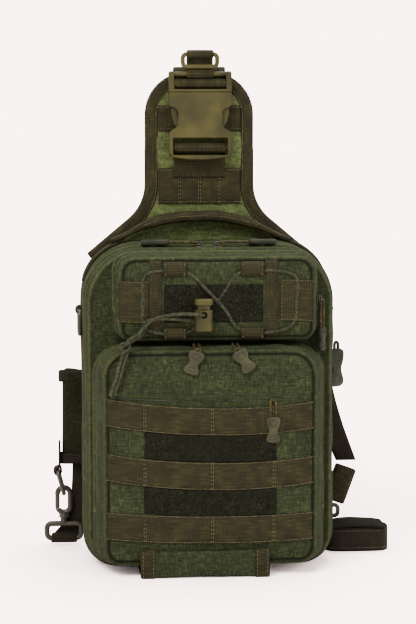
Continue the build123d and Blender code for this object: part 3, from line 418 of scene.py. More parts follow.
def repeatTree():
    # one small bead repeated along every line: a stitch, or a tooth of a zip
    tree = bpy.data.node_groups.new("repeatAlong", "GeometryNodeTree")
    sockets = tree.interface
    sockets.new_socket("Geometry", in_out="INPUT", socket_type="NodeSocketGeometry")
    for name in ("Pitch", "Length", "Width", "Height", "Jitter"):
        sockets.new_socket(name, in_out="INPUT", socket_type="NodeSocketFloat").default_value = 0.002
    sockets.new_socket("Across", in_out="INPUT", socket_type="NodeSocketVector").default_value = (0, 1, 0)
    sockets.new_socket("Seed", in_out="INPUT", socket_type="NodeSocketInt").default_value = 4
    sockets.new_socket("Material", in_out="INPUT", socket_type="NodeSocketMaterial")
    sockets.new_socket("Geometry", in_out="OUTPUT", socket_type="NodeSocketGeometry")
    given = tree.nodes.new("NodeGroupInput").outputs
    places = addNode(tree, "GeometryNodeResampleCurve", {"mode": "LENGTH", "Curve": given["Geometry"],
                                                         "Length": given["Pitch"]})
    bead = addNode(tree, "GeometryNodeMeshUVSphere", {"Segments": 6, "Rings": 4, "Radius": 0.5})
    size = addNode(tree, "ShaderNodeCombineXYZ", {"X": given["Length"], "Y": given["Width"],
                                                  "Z": given["Height"]})
    shaped = addNode(tree, "GeometryNodeTransform", {"Geometry": bead, "Scale": size})
    tangent = addNode(tree, "GeometryNodeInputTangent")
    along = addNode(tree, "FunctionNodeAlignRotationToVector", {"axis": "X", "Vector": tangent})
    turned = addNode(tree, "FunctionNodeAlignRotationToVector",
                     {"axis": "Y", "pivot_axis": "X", "Rotation": along,
                                                                 "Vector": given["Across"]})
    low = addNode(tree, "ShaderNodeMath", {"operation": "SUBTRACT", 0: 1.0, 1: given["Jitter"]})
    high = addNode(tree, "ShaderNodeMath", {"operation": "ADD", 0: 1.0, 1: given["Jitter"]})
    random = addNode(tree, "FunctionNodeRandomValue", {"data_type": "FLOAT", 2: low, 3: high,
                                                       "Seed": given["Seed"]}, out=1)
    placed = addNode(tree, "GeometryNodeInstanceOnPoints", {"Points": places, "Instance": shaped,
                                                            "Rotation": turned, "Scale": random})
    real = addNode(tree, "GeometryNodeRealizeInstances", {"Geometry": placed})
    smooth = addNode(tree, "GeometryNodeSetShadeSmooth", {"Geometry": real})
    painted = addNode(tree, "GeometryNodeSetMaterial", {"Geometry": smooth, "Material": given["Material"]})
    addNode(tree, "NodeGroupOutput", {"Geometry": painted})
    return tree


repeatAlong = repeatTree()
stitchKinds = {
    "green": {"material": greenThread, "Pitch": 3.5, "Length": 2.7, "Width": 0.8, "Height": 0.45,
              "Jitter": 0.12},
    "pale": {"material": paleThread, "Pitch": 3.4, "Length": 2.7, "Width": 0.9, "Height": 0.7,
             "Jitter": 0.15},
    "edge": {"material": paleThread, "Pitch": 2.2, "Length": 1.9, "Width": 1.2, "Height": 0.8,
             "Jitter": 0.25},
    "coil": {"material": nylonCoil, "Pitch": 1.7, "Length": 1.0, "Width": 2.6, "Height": 1.2, "Jitter": 0.0},
}
threadLines = {}  # body and kind to the lines sewn on that body
clothWall = 1.1  # the cloth's thickness
threadClear = 0.7  # the lowest a stitch comes to the ground


def sew(body, path, kind="green"):
    path = np.array(path, float)
    path[:, 2] = np.maximum(path[:, 2], threadClear)
    threadLines.setdefault((body, kind), []).append(path)


def repeatOn(name, paths, kind):
    curve = bpy.data.curves.new(name, "CURVE")
    curve.dimensions = "3D"
    for path in paths:
        line = curve.splines.new("POLY")
        line.points.add(len(path) - 1)
        line.points.foreach_set("co", np.column_stack([path * mm, np.ones(len(path))]).ravel())
    piece = bpy.data.objects.new(name, curve)
    bpy.context.scene.collection.objects.link(piece)
    modifier = piece.modifiers.new("repeat", "NODES")
    modifier.node_group = repeatAlong
    identifiers = {s.name: s.identifier for s in repeatAlong.interface.items_tree if s.in_out == "INPUT"}
    for key, value in stitchKinds[kind].items():
        if key == "material":
            modifier[identifiers["Material"]] = value
        else:
            modifier[identifiers[key]] = value if key == "Jitter" else value * mm
    return flattened(piece)


def sewAll():
    for (body, kind), paths in threadLines.items():
        settle(repeatOn(f"{kind}_thread_{body}", paths, kind), body)


def squared(value, power):
    # a cosine or sine pushed outward, so that a circle becomes a rounded rectangle
    return np.sign(value) * np.abs(value) ** power


def rim(left, right, bottom, top, topRadius, bottomRadius):
    return {"left": left, "right": right, "bottom": bottom, "top": top,
            "topRadius": topRadius, "bottomRadius": bottomRadius}


# each fabric box runs from a rear rim to its face rim, at the depths given
bodyBox = {"rear": rim(-116, 116, 0, 300, 50, 30), "face": rim(-112.5, 112.5, 3.5, 296.5, 46.5, 26.5),
           "from": -18, "to": -36}
lowerBox = {"rear": rim(-109, 105, 9, 210.3, 26, 14), "face": rim(-99, 93, 13, 208.5, 21, 13),
            "from": -42, "to": -80, "bulge": 6.0}
upperBox = {"rear": rim(-90, 98, 219, 297, 15, 12), "face": rim(-84, 93, 219.6, 293, 13, 9),
            "from": -42, "to": -64, "bulge": 3.2}


def loopPoints(box, y, spacing=3.0):
    # the outline at a depth, from the lower right corner anticlockwise seen from the front;
    # the same index is the same place at every depth
    share = min(1.0, max(0.0, (box["from"] - y) / (box["from"] - box["to"])))
    rear, face = box["rear"], box["face"]
    v = {key: rear[key] * (1 - share) + face[key] * share for key in rear}
    rt, rb = v["topRadius"], v["bottomRadius"]
    corners = [(v["right"] - rb, v["bottom"] + rb, rb, -90), (v["right"] - rt, v["top"] - rt, rt, 0),
               (v["left"] + rt, v["top"] - rt, rt, 90), (v["left"] + rb, v["bottom"] + rb, rb, 180)]
    radii = [rear["bottomRadius"], rear["topRadius"], rear["topRadius"], rear["bottomRadius"]]
    tall = rear["top"] - rear["bottom"] - rear["topRadius"] - rear["bottomRadius"]
    broad = rear["right"] - rear["left"]
    runs = [tall, broad - 2 * rear["topRadius"], tall, broad - 2 * rear["bottomRadius"]]
    points, normals = [], []
    for k, (cx, cz, radius, start) in enumerate(corners):
        steps = max(3, round(radii[k] * math.pi / 2 / spacing))
        for a in np.radians(start + np.linspace(0, 90, steps + 1)):
            points.append((cx + radius * math.cos(a), cz + radius * math.sin(a)))
            normals.append((math.cos(a), math.sin(a)))
        nx, nz, nr, _ = corners[(k + 1) % 4]
        a = math.radians(start + 90)
        first = np.array(points[-1])
        last = np.array((nx + nr * math.cos(a), nz + nr * math.sin(a)))
        steps = max(2, round(runs[k] / spacing))
        for t in np.linspace(0, 1, steps + 1)[1:-1]:
            points.append(tuple(first + (last - first) * t))
            normals.append((math.cos(a), math.sin(a)))
    return np.array(points), np.array(normals)


def around(box, y, out=0.0, above=None, below=None):
    # the outline at a depth as places in space, moved out, whole or only its part above or below a height
    points, normals = loopPoints(box, y)
    ring = np.column_stack([points[:, 0], np.full(len(points), float(y)), points[:, 1]])
    ring += np.column_stack([normals[:, 0], np.zeros(len(points)), normals[:, 1]]) * out
    if above is not None:
        return ring[points[:, 1] > above]
    if below is not None:
        low = points[:, 1] < below
        start = int(np.argmax(low & ~np.roll(low, 1)))
        return np.roll(ring, -start, axis=0)[:int(low.sum())]
    return np.vstack([ring, ring[:1]])


def faceDepth(box, x, z):
    # the depth of a pocket's face: a pillow that rises fast from its seams
    f = box["face"]
    u = np.clip(np.abs((x - (f["left"] + f["right"]) / 2) / ((f["right"] - f["left"]) / 2)), 0, 1)
    v = np.clip(np.abs((z - (f["bottom"] + f["top"]) / 2) / ((f["top"] - f["bottom"]) / 2)), 0, 1)
    return box["to"] - box["bulge"] * (1 - u ** 4) * (1 - v ** 5)


def onFace(box, points, lift=0.0):
    # places (x, z) laid on a pocket's face, lifted off it
    p = np.asarray(points, float)
    return np.column_stack([p[:, 0], faceDepth(box, p[:, 0], p[:, 1]) - lift, p[:, 1]])


def fabricBox(name, box, rings, material, faceRows=0, wrinkle=0.0, seed=1, turned=False):
    # rings are (depth, out, looseness, wear and shade) from the open edge to the face: above zero the cloth
    # is rubbed pale, below zero it gets painted shade where it turns into a seam
    vertices, wearAndShadeRows = [], []
    for y, out, loose, wear in rings:
        points, normals = loopPoints(box, y)
        ring = np.column_stack([points[:, 0], np.full(len(points), float(y)), points[:, 1]])
        normals = np.column_stack([normals[:, 0], np.zeros(len(points)), normals[:, 1]])
        lumps = cloudNoise(ring * [0.4, 1.5, 0.4], 9, seed) + 0.7 * cloudNoise(ring * [1, 1, 0.5], 15,
                                                                               seed + 3)
        vertices.append(ring + normals * (out + wrinkle * loose * lumps)[:, None])
        wearAndShadeRows.append(wear + 0.25 * loose * np.clip(lumps, 0, 1) * wrinkle)
    count = len(vertices[0])
    arc = np.concatenate([[0], np.cumsum(np.linalg.norm(np.diff(vertices[0], axis=0), axis=1))])
    arc = np.append(arc, arc[-1] + 3.0)
    firstFlat = len(rings) - 1
    if faceRows:
        edge = vertices[-1]
        centre = edge.mean(axis=0)
        centre[2] = (box["face"]["top"] + box["face"]["bottom"]) / 2
        for k in range(1, faceRows + 1):
            s = 1 - (k / (faceRows + 1)) ** 1.2
            inner = centre + (edge - centre) * s
            inner[:, 1] = faceDepth(box, inner[:, 0], inner[:, 2]) if "bulge" in box else edge[:, 1]
            lumps = cloudNoise(inner * [0.5, 1, 1.1], 26, seed + 5) + 0.4 * cloudNoise(inner, 11, seed + 7)
            inner[:, 1] += 0.6 * wrinkle * min(1.0, k / 4) * lumps
            vertices.append(inner)
            wearAndShadeRows.append(np.zeros(count))
    points = np.vstack(vertices)
    points[:, 2] = np.maximum(points[:, 2], clothWall)  # the cloth lies flat where it stands
    faces, uvs = [], []
    for i in range(len(vertices) - 1):
        for j in range(count):
            k = (j + 1) % count
            corners = [(i, j), (i + 1, j), (i + 1, k), (i, k)]
            if turned:
                corners.reverse()
            faces.append([r * count + c for r, c in corners])
            for r, c in corners:
                p = points[r * count + c]
                along = arc[count] if c == 0 and j == count - 1 else arc[c]
                uvs.append((p[0], p[2]) if i >= firstFlat and faceRows else (along, p[1]))
    if faceRows:
        middle = len(points)
        points = np.vstack([points, vertices[-1].mean(axis=0)])
        wearAndShadeRows.append(np.zeros(1))
        last = (len(vertices) - 1) * count
        for j in range(count):
            corner = [last + j, middle, last + (j + 1) % count]
            faces.append(corner[::-1] if turned else corner)
            uvs.extend([(points[c][0], points[c][2]) for c in faces[-1]])
    return makeMesh(name, points, faces, material, uvs, np.concatenate(wearAndShadeRows))


def zipHalf(box, y, reach, end, out=-1.0):
    # one side's tape above a height, with its coil at y and its sewn edge at y + reach
    first, last = around(box, y + reach, out, above=end), around(box, y, out, above=end)
    count = len(first)
    points = np.vstack([first, (first + last) / 2, last])
    faces, uvs = [], []
    arc = np.arange(count) * 3.0
    for i in range(2):
        for j in range(count - 1):
            quad = [i * count + j, (i + 1) * count + j, (i + 1) * count + j + 1, i * count + j + 1]
            faces.append(quad if reach > 0 else quad[::-1])
            uvs.extend([(i * abs(reach) / 2, arc[j]), ((i + 1) * abs(reach) / 2, arc[j]),
                        ((i + 1) * abs(reach) / 2, arc[j + 1]), (i * abs(reach) / 2, arc[j + 1])]
                       if reach > 0 else
                       [(i * abs(reach) / 2, arc[j + 1]), ((i + 1) * abs(reach) / 2, arc[j + 1]),
                        ((i + 1) * abs(reach) / 2, arc[j]), (i * abs(reach) / 2, arc[j])])
    return points, faces, uvs


def makeZip(name, box, y, reach, end, body, nodes=(), out=-1.0, fold=None):
    points, faces, uvs = zipHalf(box, y, reach, end, out)
    tape = thickened(makeMesh(name, points, faces, zipTape, uvs), 0.6)
    if fold:
        settleAcross(tape, "front_shell", body, *fold, nodes, "zip_tape")
    else:
        settle(tape, body, nodes)
    side = 1 if reach > 0 else -1
    sew(body, around(box, y + side * 1.0, out + 0.3, above=end), "coil")


# the rear compartment, the middle gusset and the front compartment
bodySettings = {"wrinkle": 0.9, "lapTop": 84}
s = bodySettings
rearGusset = fabricBox("rear_gusset", bodyBox, [
    (46, -0.6, 0, 0), (45.2, 0.7, 0, 0.25), (43.5, 0.9, 0.3, 0), (40, 1.2, 1, 0), (36, 1.5, 1, 0),
    (32, 1.4, 1, 0), (29, 1.2, 0.6, 0.1), (26.5, 0.9, 0.3, 0.1), (25.2, 0.9, 0, 0.25), (24.4, 0.2, 0, 0.1),
    (24.2, -1.2, 0, -0.5)], canvas, wrinkle=s["wrinkle"], seed=2)
settle(thickened(rearGusset, clothWall), "back_shell", ["main_rear_gusset"])
middleGusset = fabricBox("middle_gusset", bodyBox, [
    (15.0, -1.2, 0, -0.5), (14.8, 0.2, 0, 0.1), (14.2, 0.9, 0, 0.25), (12.5, 1.0, 0.3, 0.1), (9, 1.1, 1, 0),
    (5, 1.2, 1, 0), (1, 1.0, 1, 0), (-3, 1.1, 1, 0), (-7, 1.1, 1, 0), (-10.5, 1.0, 0.3, 0.1),
    (-12.4, 0.9, 0, 0.25), (-13.1, 0.2, 0, 0.1), (-13.4, -1.2, 0, -0.5)], canvas, wrinkle=s["wrinkle"],
    seed=5)
settle(thickened(middleGusset, clothWall), "middle_shell", ["middle_gusset"])
frontTray = fabricBox("front_tray", bodyBox, [
    (-22.6, -1.2, 0, -0.5), (-22.8, 0.2, 0, 0.1), (-23.5, 0.9, 0, 0.25), (-25.5, 0.9, 0.3, 0.1),
    (-28.5, 1.0, 1, 0), (-31.5, 0.8, 0.8, 0), (-34.2, 0.3, 0.3, 0.1), (-35.4, 0.4, 0, 0.3),
    (-36.1, -0.4, 0, 0.25),
    (-36.2, -1.6, 0, -0.4)], canvas, faceRows=14, wrinkle=s["wrinkle"], seed=8)
settle(thickened(frontTray, clothWall), "front_shell", ["front_tray"])

insideRim = rim(-113.5, 113.5, 2.5, 297.5, 48, 28)
insideBox = {**bodyBox, "from": 50, "face": insideRim, "rear": insideRim}
partition = fabricBox("partition", {**insideBox, "to": -1.0},
                      [(1.0, 0, 0, 0), (0.0, 0.6, 0, 0), (-1.0, 0, 0, 0)], canvas, faceRows=12, seed=3)
backing = fabricBox("partition_rear", {**insideBox, "to": 1.0},
                    [(0.9, 0, 0, 0), (1.0, 0, 0, 0)], canvas, faceRows=12, seed=3, turned=True)
settle(joined("partition_panel", [partition, backing]), "middle_shell", ["partition_panel"])

makeZip("zip_rear_back", bodyBox, 19.9, 5.2, 80, "back_shell", ["zip_tape_back"])
makeZip("zip_rear_middle", bodyBox, 19.6, -5.2, 80, "middle_shell", ["zip_tapes_middle"])
makeZip("zip_front_middle", bodyBox, -17.9, 5.2, 80, "middle_shell")
makeZip("zip_front_front", bodyBox, -18.1, -5.2, 80, "front_shell", ["zip_tapes_front"])
for y in (26.8, 43.6):
    sew("back_shell", around(bodyBox, y, 1.1))
for y in (12.6, -10.6):
    sew("middle_shell", around(bodyBox, y, 1.15))
for y in (-25.2, -34.0):
    sew("front_shell", around(bodyBox, y, 0.95))


def zipLap(name, box, rear, front, top, proud, first, second, seed, fold=None):
    # the panel that closes a zip's lower end and runs under the box, with a curved upper edge
    columns = 9
    rows = []
    for k in range(columns):
        t = k / (columns - 1)
        y = rear + (front - rear) * t
        height = top - 5 * (2 * t - 1) ** 2
        out = proud if 0 < k < columns - 1 else proud - 0.9
        strip = around(box, y, out, below=top + 6)
        index = np.linspace(0, len(strip) - 1, 150)
        low = np.floor(index).astype(int)
        high = np.minimum(low + 1, len(strip) - 1)
        strip = strip[low] + (strip[high] - strip[low]) * (index - low)[:, None]
        strip[:, 2] = np.minimum(strip[:, 2], height)
        lumps = cloudNoise(strip * [0.5, 1.6, 0.5], 9, seed)
        strip[:, 0] += np.sign(strip[:, 0]) * 0.4 * lumps * (strip[:, 2] > 30)
        strip[:, 2] = np.maximum(strip[:, 2], clothWall)
        rows.append(strip)
    points = np.vstack(rows)
    faces, uvs, wear = [], [], np.zeros(len(points))
    for i in range(columns - 1):
        for j in range(149):
            quad = [i * 150 + j, (i + 1) * 150 + j, (i + 1) * 150 + j + 1, i * 150 + j + 1]
            faces.append(quad)
            uvs.extend([(j * 3.0, points[quad[0]][1]), (j * 3.0, points[quad[1]][1]),
                        (j * 3.0 + 3, points[quad[2]][1]), (j * 3.0 + 3, points[quad[3]][1])])
    wear[:150] = wear[-150:] = 0.5
    wear[points[:, 2] > top - 5.5] = 0.5
    lap = thickened(makeMesh(name, points, faces, canvas, uvs, wear), 1.0)
    settleAcross(lap, first, second, *(fold or ((0, rear - 1, 0), (0, front + 1, 0))),
                 slotName="green_fabric")
    second = first if fold else second
    for k in (1, columns - 2):
        sew(first if k == 1 else second, rows[k][6:-6])
    for side in (0, -1):
        edge = np.array([row[side] for row in rows])
        edge[:, 2] -= 3
        edge[:, 0] += 0.5 * np.sign(edge[:, 0])
        sew(first, edge[:5])
        sew(second, edge[4:])


zipLap("lap_rear", bodyBox, 26.0, 13.2, s["lapTop"], 1.5, "back_shell", "middle_shell", 11)
zipLap("lap_front", bodyBox, -11.6, -24.4, s["lapTop"] + 2, 1.9, "middle_shell", "front_shell", 12)
print("body boxes and their zips made")

# the lower pocket: a fixed base gusset, a zip, and the flap that folds down from it
lowerSettings = {"wrinkle": 1.1, "hinge": (50, 70), "zipEnd": 60}
s = lowerSettings
lowerBase = fabricBox("lower_pocket_base", lowerBox, [
    (-36.3, 0.0, 0, -0.3), (-37.2, 0.6, 0, 0.2), (-39.5, 0.8, 0.4, 0), (-42.5, 1.0, 1, 0),
    (-45.5, 0.9, 0.4, 0.1),
    (-46.8, 0.8, 0, 0.25), (-47.4, 0.1, 0, 0.1), (-47.6, -1.2, 0, -0.5)], canvas, wrinkle=s["wrinkle"],
    seed=21)
settle(thickened(lowerBase, clothWall), "front_shell", ["lower_pocket_base", "pocket_gussets"])
lowerFlap = fabricBox("lower_pocket_front", lowerBox, [
    (-52.4, -1.2, 0, -0.5), (-52.6, 0.1, 0, 0.1), (-53.2, 0.9, 0, 0.25), (-55.4, 1.0, 0.3, 0.1),
    (-59, 1.4, 1, 0),
    (-63, 1.8, 1, 0), (-67, 1.9, 1, 0), (-71, 1.6, 1, 0), (-74.5, 1.0, 0.7, 0), (-77.5, 0.6, 0.3, 0.15),
    (-79.2, 0.8, 0, 0.2), (-80.5, 0.3, 0, 0.1), (-80.7, -0.7, 0, -0.8), (-79.6, -1.8, 0, -1.4),
    (-80.2, -2.9, 0, -0.8)],
    canvas, faceRows=40, wrinkle=s["wrinkle"], seed=23)
lowerFold = [(0, -80, z) for z in s["hinge"]]
settleAcross(thickened(lowerFlap, clothWall), "front_shell", "lower_flap", *lowerFold, ["lower_pocket_front"],
             "green_fabric")
makeZip("zip_lower_base", lowerBox, -49.9, 2.6, s["zipEnd"], "front_shell")
makeZip("zip_lower_flap", lowerBox, -50.1, -2.6, s["zipEnd"], "lower_flap", ["zip_tape_lower"],
        fold=lowerFold)
zipLap("lap_lower", lowerBox, -45.2, -55.0, 61, 1.7, "front_shell", "lower_flap", 13, lowerFold)
for y in (-55.8, -76.6):
    sew("lower_flap", around(lowerBox, y, 1.1, above=s["hinge"][1] + 7))
    sew("front_shell", around(lowerBox, y, 1.1, below=s["hinge"][0]))
sew("front_shell", around(lowerBox, -44.6, 1.1))

# the upper pocket: the same build, hinged at its lower edge
upperSettings = {"wrinkle": 0.8, "hinge": (219.5, 229), "zipEnd": 248}
s = upperSettings
upperBase = fabricBox("upper_pocket_base", upperBox, [
    (-36.3, 0.0, 0, -0.3), (-37.2, 0.6, 0, 0.2), (-40, 0.8, 0.6, 0), (-42.8, 0.8, 0, 0.4),
    (-43.6, 0.1, 0, 0.1),
    (-43.8, -1.2, 0, -0.5)], canvas, wrinkle=s["wrinkle"], seed=31)
settle(thickened(upperBase, clothWall), "front_shell")
upperFlap = fabricBox("upper_pocket_front", upperBox, [
    (-49.0, -1.2, 0, -0.5), (-49.2, 0.1, 0, 0.1), (-50.0, 0.8, 0, 0.25), (-52.4, 0.9, 0.3, 0.1),
    (-55.5, 1.1, 1, 0),
    (-58.8, 1.0, 0.8, 0), (-61.6, 0.5, 0.3, 0.15), (-63.2, 0.7, 0, 0.2), (-64.4, 0.2, 0, 0.1),
    (-64.7, -0.7, 0, -0.8), (-63.7, -1.7, 0, -1.4), (-64.2, -2.7, 0, -0.8)], canvas, faceRows=24,
    wrinkle=s["wrinkle"], seed=33)
settleAcross(thickened(upperFlap, clothWall), "front_shell", "upper_flap", (0, -64, s["hinge"][0]),
             (0, -64, s["hinge"][1]),
             ["upper_pocket_front"], "green_fabric")
makeZip("zip_upper_base", upperBox, -46.4, 2.6, s["zipEnd"], "front_shell")
makeZip("zip_upper_flap", upperBox, -46.6, -2.6, s["zipEnd"], "upper_flap", ["zip_tape_upper"])
zipLap("lap_upper", upperBox, -41.8, -51.4, 249, 1.2, "front_shell", "upper_flap", 14)
for y in (-52.6, -61.0):
    sew("upper_flap", around(upperBox, y, 1.05, above=s["hinge"][1]))
print("pockets made")


def facePatch(name, box, x0, x1, z0, z1, lift, material, rise=None, step=2.5, shaggy=0.0, seed=1, cut=0.7):
    # a piece of cloth laid on a pocket's face; lift(s, t) is its height off it, and rise(x) bends it up
    nx, nz = max(4, int((x1 - x0) / step)), max(4, int((z1 - z0) / step))
    points, uvs, faces = [], [], []
    rise = rise or (lambda x: 0.0 * x)
    for j in range(nz + 1):
        for i in range(nx + 1):
            s, t = i / nx, j / nz
            x, z = x0 + (x1 - x0) * s, z0 + (z1 - z0) * t
            edge = 1.0 if 0 < i < nx and 0 < j < nz else 0.25
            z += rise(x)
            points.append((x, faceDepth(box, x, z) - lift(s, t) * edge - 0.15, z))
    points = np.array(points, float)
    if shaggy:
        inner = np.array([0 < k % (nx + 1) < nx and 0 < k // (nx + 1) < nz for k in range(len(points))])
        points[:, 1] += shaggy * inner * cloudNoise(points, 2.6, seed)
        points[:, [0, 2]] += 0.7 * shaggy * (~inner)[:, None] * np.column_stack(
            [cloudNoise(points, 4.0, seed + 1), cloudNoise(points, 4.0, seed + 2)])
    for j in range(nz):
        for i in range(nx):
            a = j * (nx + 1) + i
            quad = [a, a + 1, a + nx + 2, a + nx + 1]
            faces.append(quad)
            uvs.extend([(points[c][0], points[c][2]) for c in quad])
    wear = np.zeros(len(points))
    wear[:nx + 1] = wear[-nx - 1:] = 0.45
    patch = makeMesh(name, points, faces, material, uvs, wear)
    return thickened(patch, cut)


# webbing rows, loop fields and the slip pocket on the lower pocket's face
faceSettings = {"rows": (45.5, 96.3, 147.1), "webbing": 25.4, "thick": 1.7, "tacks": (-97, -64, -2, 55, 92),
                "slipEdge": 168, "slipSeam": 193, "field": (-65, 58)}
s = faceSettings


def sag(x):
    u = (np.asarray(x, float) + 3) / 96
    return 6.75 * u ** 2 - 2.25 * u - 1.5


rowPieces = []
for index, centre in enumerate(s["rows"]):
    body = "front_shell" if index == 0 else "lower_flap"
    x = np.arange(-98.2, 92.6, 1.8)
    tacks = s["tacks"]
    bow = np.zeros(len(x))
    for a, b in zip(tacks, tacks[1:]):
        inside = (x >= a) & (x <= b)
        bow[inside] = np.sin(np.pi * (x[inside] - a) / (b - a)) ** 0.6
    z = centre + sag(x) * (0.45 if index == 0 else 1.0)
    y = faceDepth(lowerBox, x, z) - 1.15 - 0.8 * bow
    row = ribbon(f"webbing_row_{index}", np.column_stack([x, y, z]), (0, 0, 1), s["webbing"], s["thick"],
                 brownWebbing)
    rowPieces.append((row, body))
    for tack in tacks[1:-1]:
        at = int(np.argmin(np.abs(x - tack)))
        for dx in (-0.9, 0.9):
            height = np.linspace(-11.2, 11.2, 9)
            sew(body, np.column_stack([np.full(9, tack + dx), np.full(9, y[at] - 1.0), z[at] + height]),
                "pale")
    for edge in (-1, 1):
        sew(body, np.column_stack([x, y - 0.85, z + edge * 12.0]), "edge")
low, mid, high = [row for row, _ in rowPieces]
base = []
for x0 in (-68, 37.5):
    path = smoothPath([(x0 + 6.75, -79.5, 30), (x0 + 6.75, -83.4, 16), (x0 + 6.75, -82.5, 6),
                       (x0 + 6.75, -76, 1.6),
                       (x0 + 6.75, -60, 1.0), (x0 + 6.75, -42, 1.2), (x0 + 6.75, -38.2, 3.0),
                       (x0 + 6.75, -38, 8)], 3)
    base.append(ribbon("under_webbing", path, (1, 0, 0), 13.5, 1.6, brownWebbing))
settle(joined("base_webbing", [low, *base]), "front_shell", ["base_webbing"])
settle(joined("molle_rows", [mid, high]), "lower_flap", ["molle_rows"])
fields = [facePatch("loop_field", lowerBox, s["field"][0], s["field"][1], z0, z1,
                    lambda a, b: 2.0, loopCloth, rise=sag, step=1.4, shaggy=0.35, seed=k)
          for k, (z0, z1) in enumerate(((57.6, 84.0), (108.6, 134.8)))]
settleAcross(joined("loop_fields", fields), "front_shell", "lower_flap", *lowerFold, ["loop_fields"],
             "loop_fabric")
slip = facePatch("slip_pocket_panel", lowerBox, -98.0, 92.2, s["slipEdge"], s["slipSeam"],
                 lambda a, b: 0.5 + 2.2 * (1 - b) ** 1.5 * min(1, 12 * a) * min(1, 12 * (1 - a)), canvas,
                 rise=lambda x: 0.4 * sag(x) - 0.4, cut=1.0)
settle(slip, "lower_flap", ["slip_pocket_panel"])
x = np.linspace(-94, 89, 60)
line = np.column_stack([x, s["slipSeam"] - 2.2 + 0.4 * sag(x) - 0.4])
sew("lower_flap", onFace(lowerBox, line, 1.0))
line = np.column_stack([x, s["slipEdge"] + 3.2 + 0.4 * sag(x) - 0.4])
sew("lower_flap", onFace(lowerBox, line, 3.0))
slipZip = facePatch("slip_zip", lowerBox, -92, 87, 160.5, 168.5, lambda a, b: 0.35, zipTape,
                    rise=lambda x: 0.5 * sag(x), cut=0.5)
settle(slipZip, "lower_flap")
line = np.column_stack([x * 0.98, 165.6 + 0.4 * sag(x) - 0.4])
sew("lower_flap", onFace(lowerBox, line, 0.9), "coil")
ring = around(lowerBox, -80, -4.8)
ring[:, 1] = faceDepth(lowerBox, ring[:, 0], ring[:, 2]) - 0.2
sew("lower_flap", ring[ring[:, 2] > 77])


# the folded strap that stands in front of the base, fabric with webbing ends
footSettings = {"x": (-68, 51), "cap": 13.5, "height": 27, "depth": 7.4, "rear": -82.8}
s = footSettings


def pouchSection(x, y, z, height, depth):
    a = np.radians(np.arange(0, 360, 15))
    c, sn = np.cos(a), np.sin(a)
    py = y + depth / 2 * squared(c, 0.5)
    pz = z + height / 2 * squared(sn, 0.42)
    return np.column_stack([np.full(len(a), x), py, pz])


middle = s["rear"] - s["depth"] / 2
fold = []
for x in np.arange(-57, 40.1, 2.5):
    u = (x + 8.5) / 49
    w = cloudNoise([[x, 0, 0]], 14, 5)[0]
    fold.append(pouchSection(x, middle - 0.4 + 0.4 * w, 13.2 + 0.6 * w, 23.5 + 1.4 * u * u, 5.2 + 0.5 * w))
strapCloth = loft("strap_cloth", fold, canvas)
caps = []
for x0 in (s["x"][0], s["x"][1] - s["cap"]):
    caps.append(loft("strap_cap", [pouchSection(x0 + d, middle, 13.5, 27 - e, 7.4 - e) for d, e in
                                   ((0, 1.6), (0.5, 0.4), (1.4, 0), (6.7, 0), (12.1, 0), (13, 0.4),
                                    (13.5, 1.6))],
                     brownWebbing))
settle(joined("bottom_strap", [strapCloth, *caps]), "bottom_strap", ["bottom_strap"])
for x in (-66, -56.6, 39.6, 49):
    sew("bottom_strap", [(x, s["rear"] - s["depth"] - 0.1, z) for z in np.linspace(2.5, 24.5, 12)], "pale")
for z in (3.4, 23.2):
    sew("bottom_strap", [(x, s["rear"] - 6.4, z) for x in np.linspace(-53, 36, 30)])
print("lower pocket's face made")

# the upper pocket's face: webbing tabs, loop patch, keepers, elastic cord and its lock
upperFace = {"loops": (-45.5, -24.5, 26.0, 47.0), "keeperLow": 230.5, "keeperHigh": 277.5, "cord": 3.4}
s = upperFace
trim = []
patch = facePatch("face_patch", upperBox, -45.5, 47, 234.5, 270.5, lambda a, b: 1.5, loopCloth, step=1.4,
                  shaggy=0.35, seed=9)
for x0, x1, z0, z1 in ((-58.5, -47, 221, 292), (48.5, 60, 221, 292)):
    z = np.linspace(z0, z1, 30)
    y = faceDepth(upperBox, np.full(30, (x0 + x1) / 2), z) - 0.9
    trim.append(ribbon("face_web", np.column_stack([np.full(30, (x0 + x1) / 2), y, z]), (1, 0, 0), x1 - x0,
                       1.3,
                       brownWebbing))
    for side in (x0 + 1.0, x1 - 1.0):
        sew("upper_flap", np.column_stack([np.full(30, side), y - 0.75, z]))
for x0, x1 in ((-86.5, -59.5), (61.5, 92.5)):
    x = np.linspace(x0, x1, 14)
    z = 254.5 + 0.6 * np.sin(x / 9)
    y = faceDepth(upperBox, x, z) - 1.0 - 0.9 * np.sin(np.pi * (x - x0) / (x1 - x0))
    trim.append(ribbon("side_web", np.column_stack([x, y, z]), (0, 0, 1), 39, 1.5, brownWebbing))
    for side in (-18.2, 18.2):
        sew("upper_flap", np.column_stack([x, y - 0.8, z + side]), "edge")
    inner = x[-2] if x0 < 0 else x[1]
    sew("upper_flap", [(inner, y[1] - 0.9, v) for v in np.linspace(237.5, 271.5, 12)], "pale")
settle(joined("face_trim", [patch, *trim]), "upper_flap", ["face_trim"])


def keeper(name, x0, x1, z0, z1, rear=-65.3, room=4.2, thick=1.8):
    # a webbing sleeve sewn along its upper and lower edges, round the cord
    front = rear - room - thick / 2
    mid = (z0 + z1) / 2
    path = smoothPath([(0, rear - 0.7, z0 + 0.4), (0, rear - room * 0.55, z0 + 0.2), (0, front, z0 + 2.4),
                       (0, front - 0.5, mid), (0, front, z1 - 2.4), (0, rear - room * 0.55, z1 - 0.2),
                       (0, rear - 0.7, z1 - 0.4)], 1.2)
    path[:, 0] = (x0 + x1) / 2
    return ribbon(name, path, (1, 0, 0), x1 - x0, thick, brownWebbing)


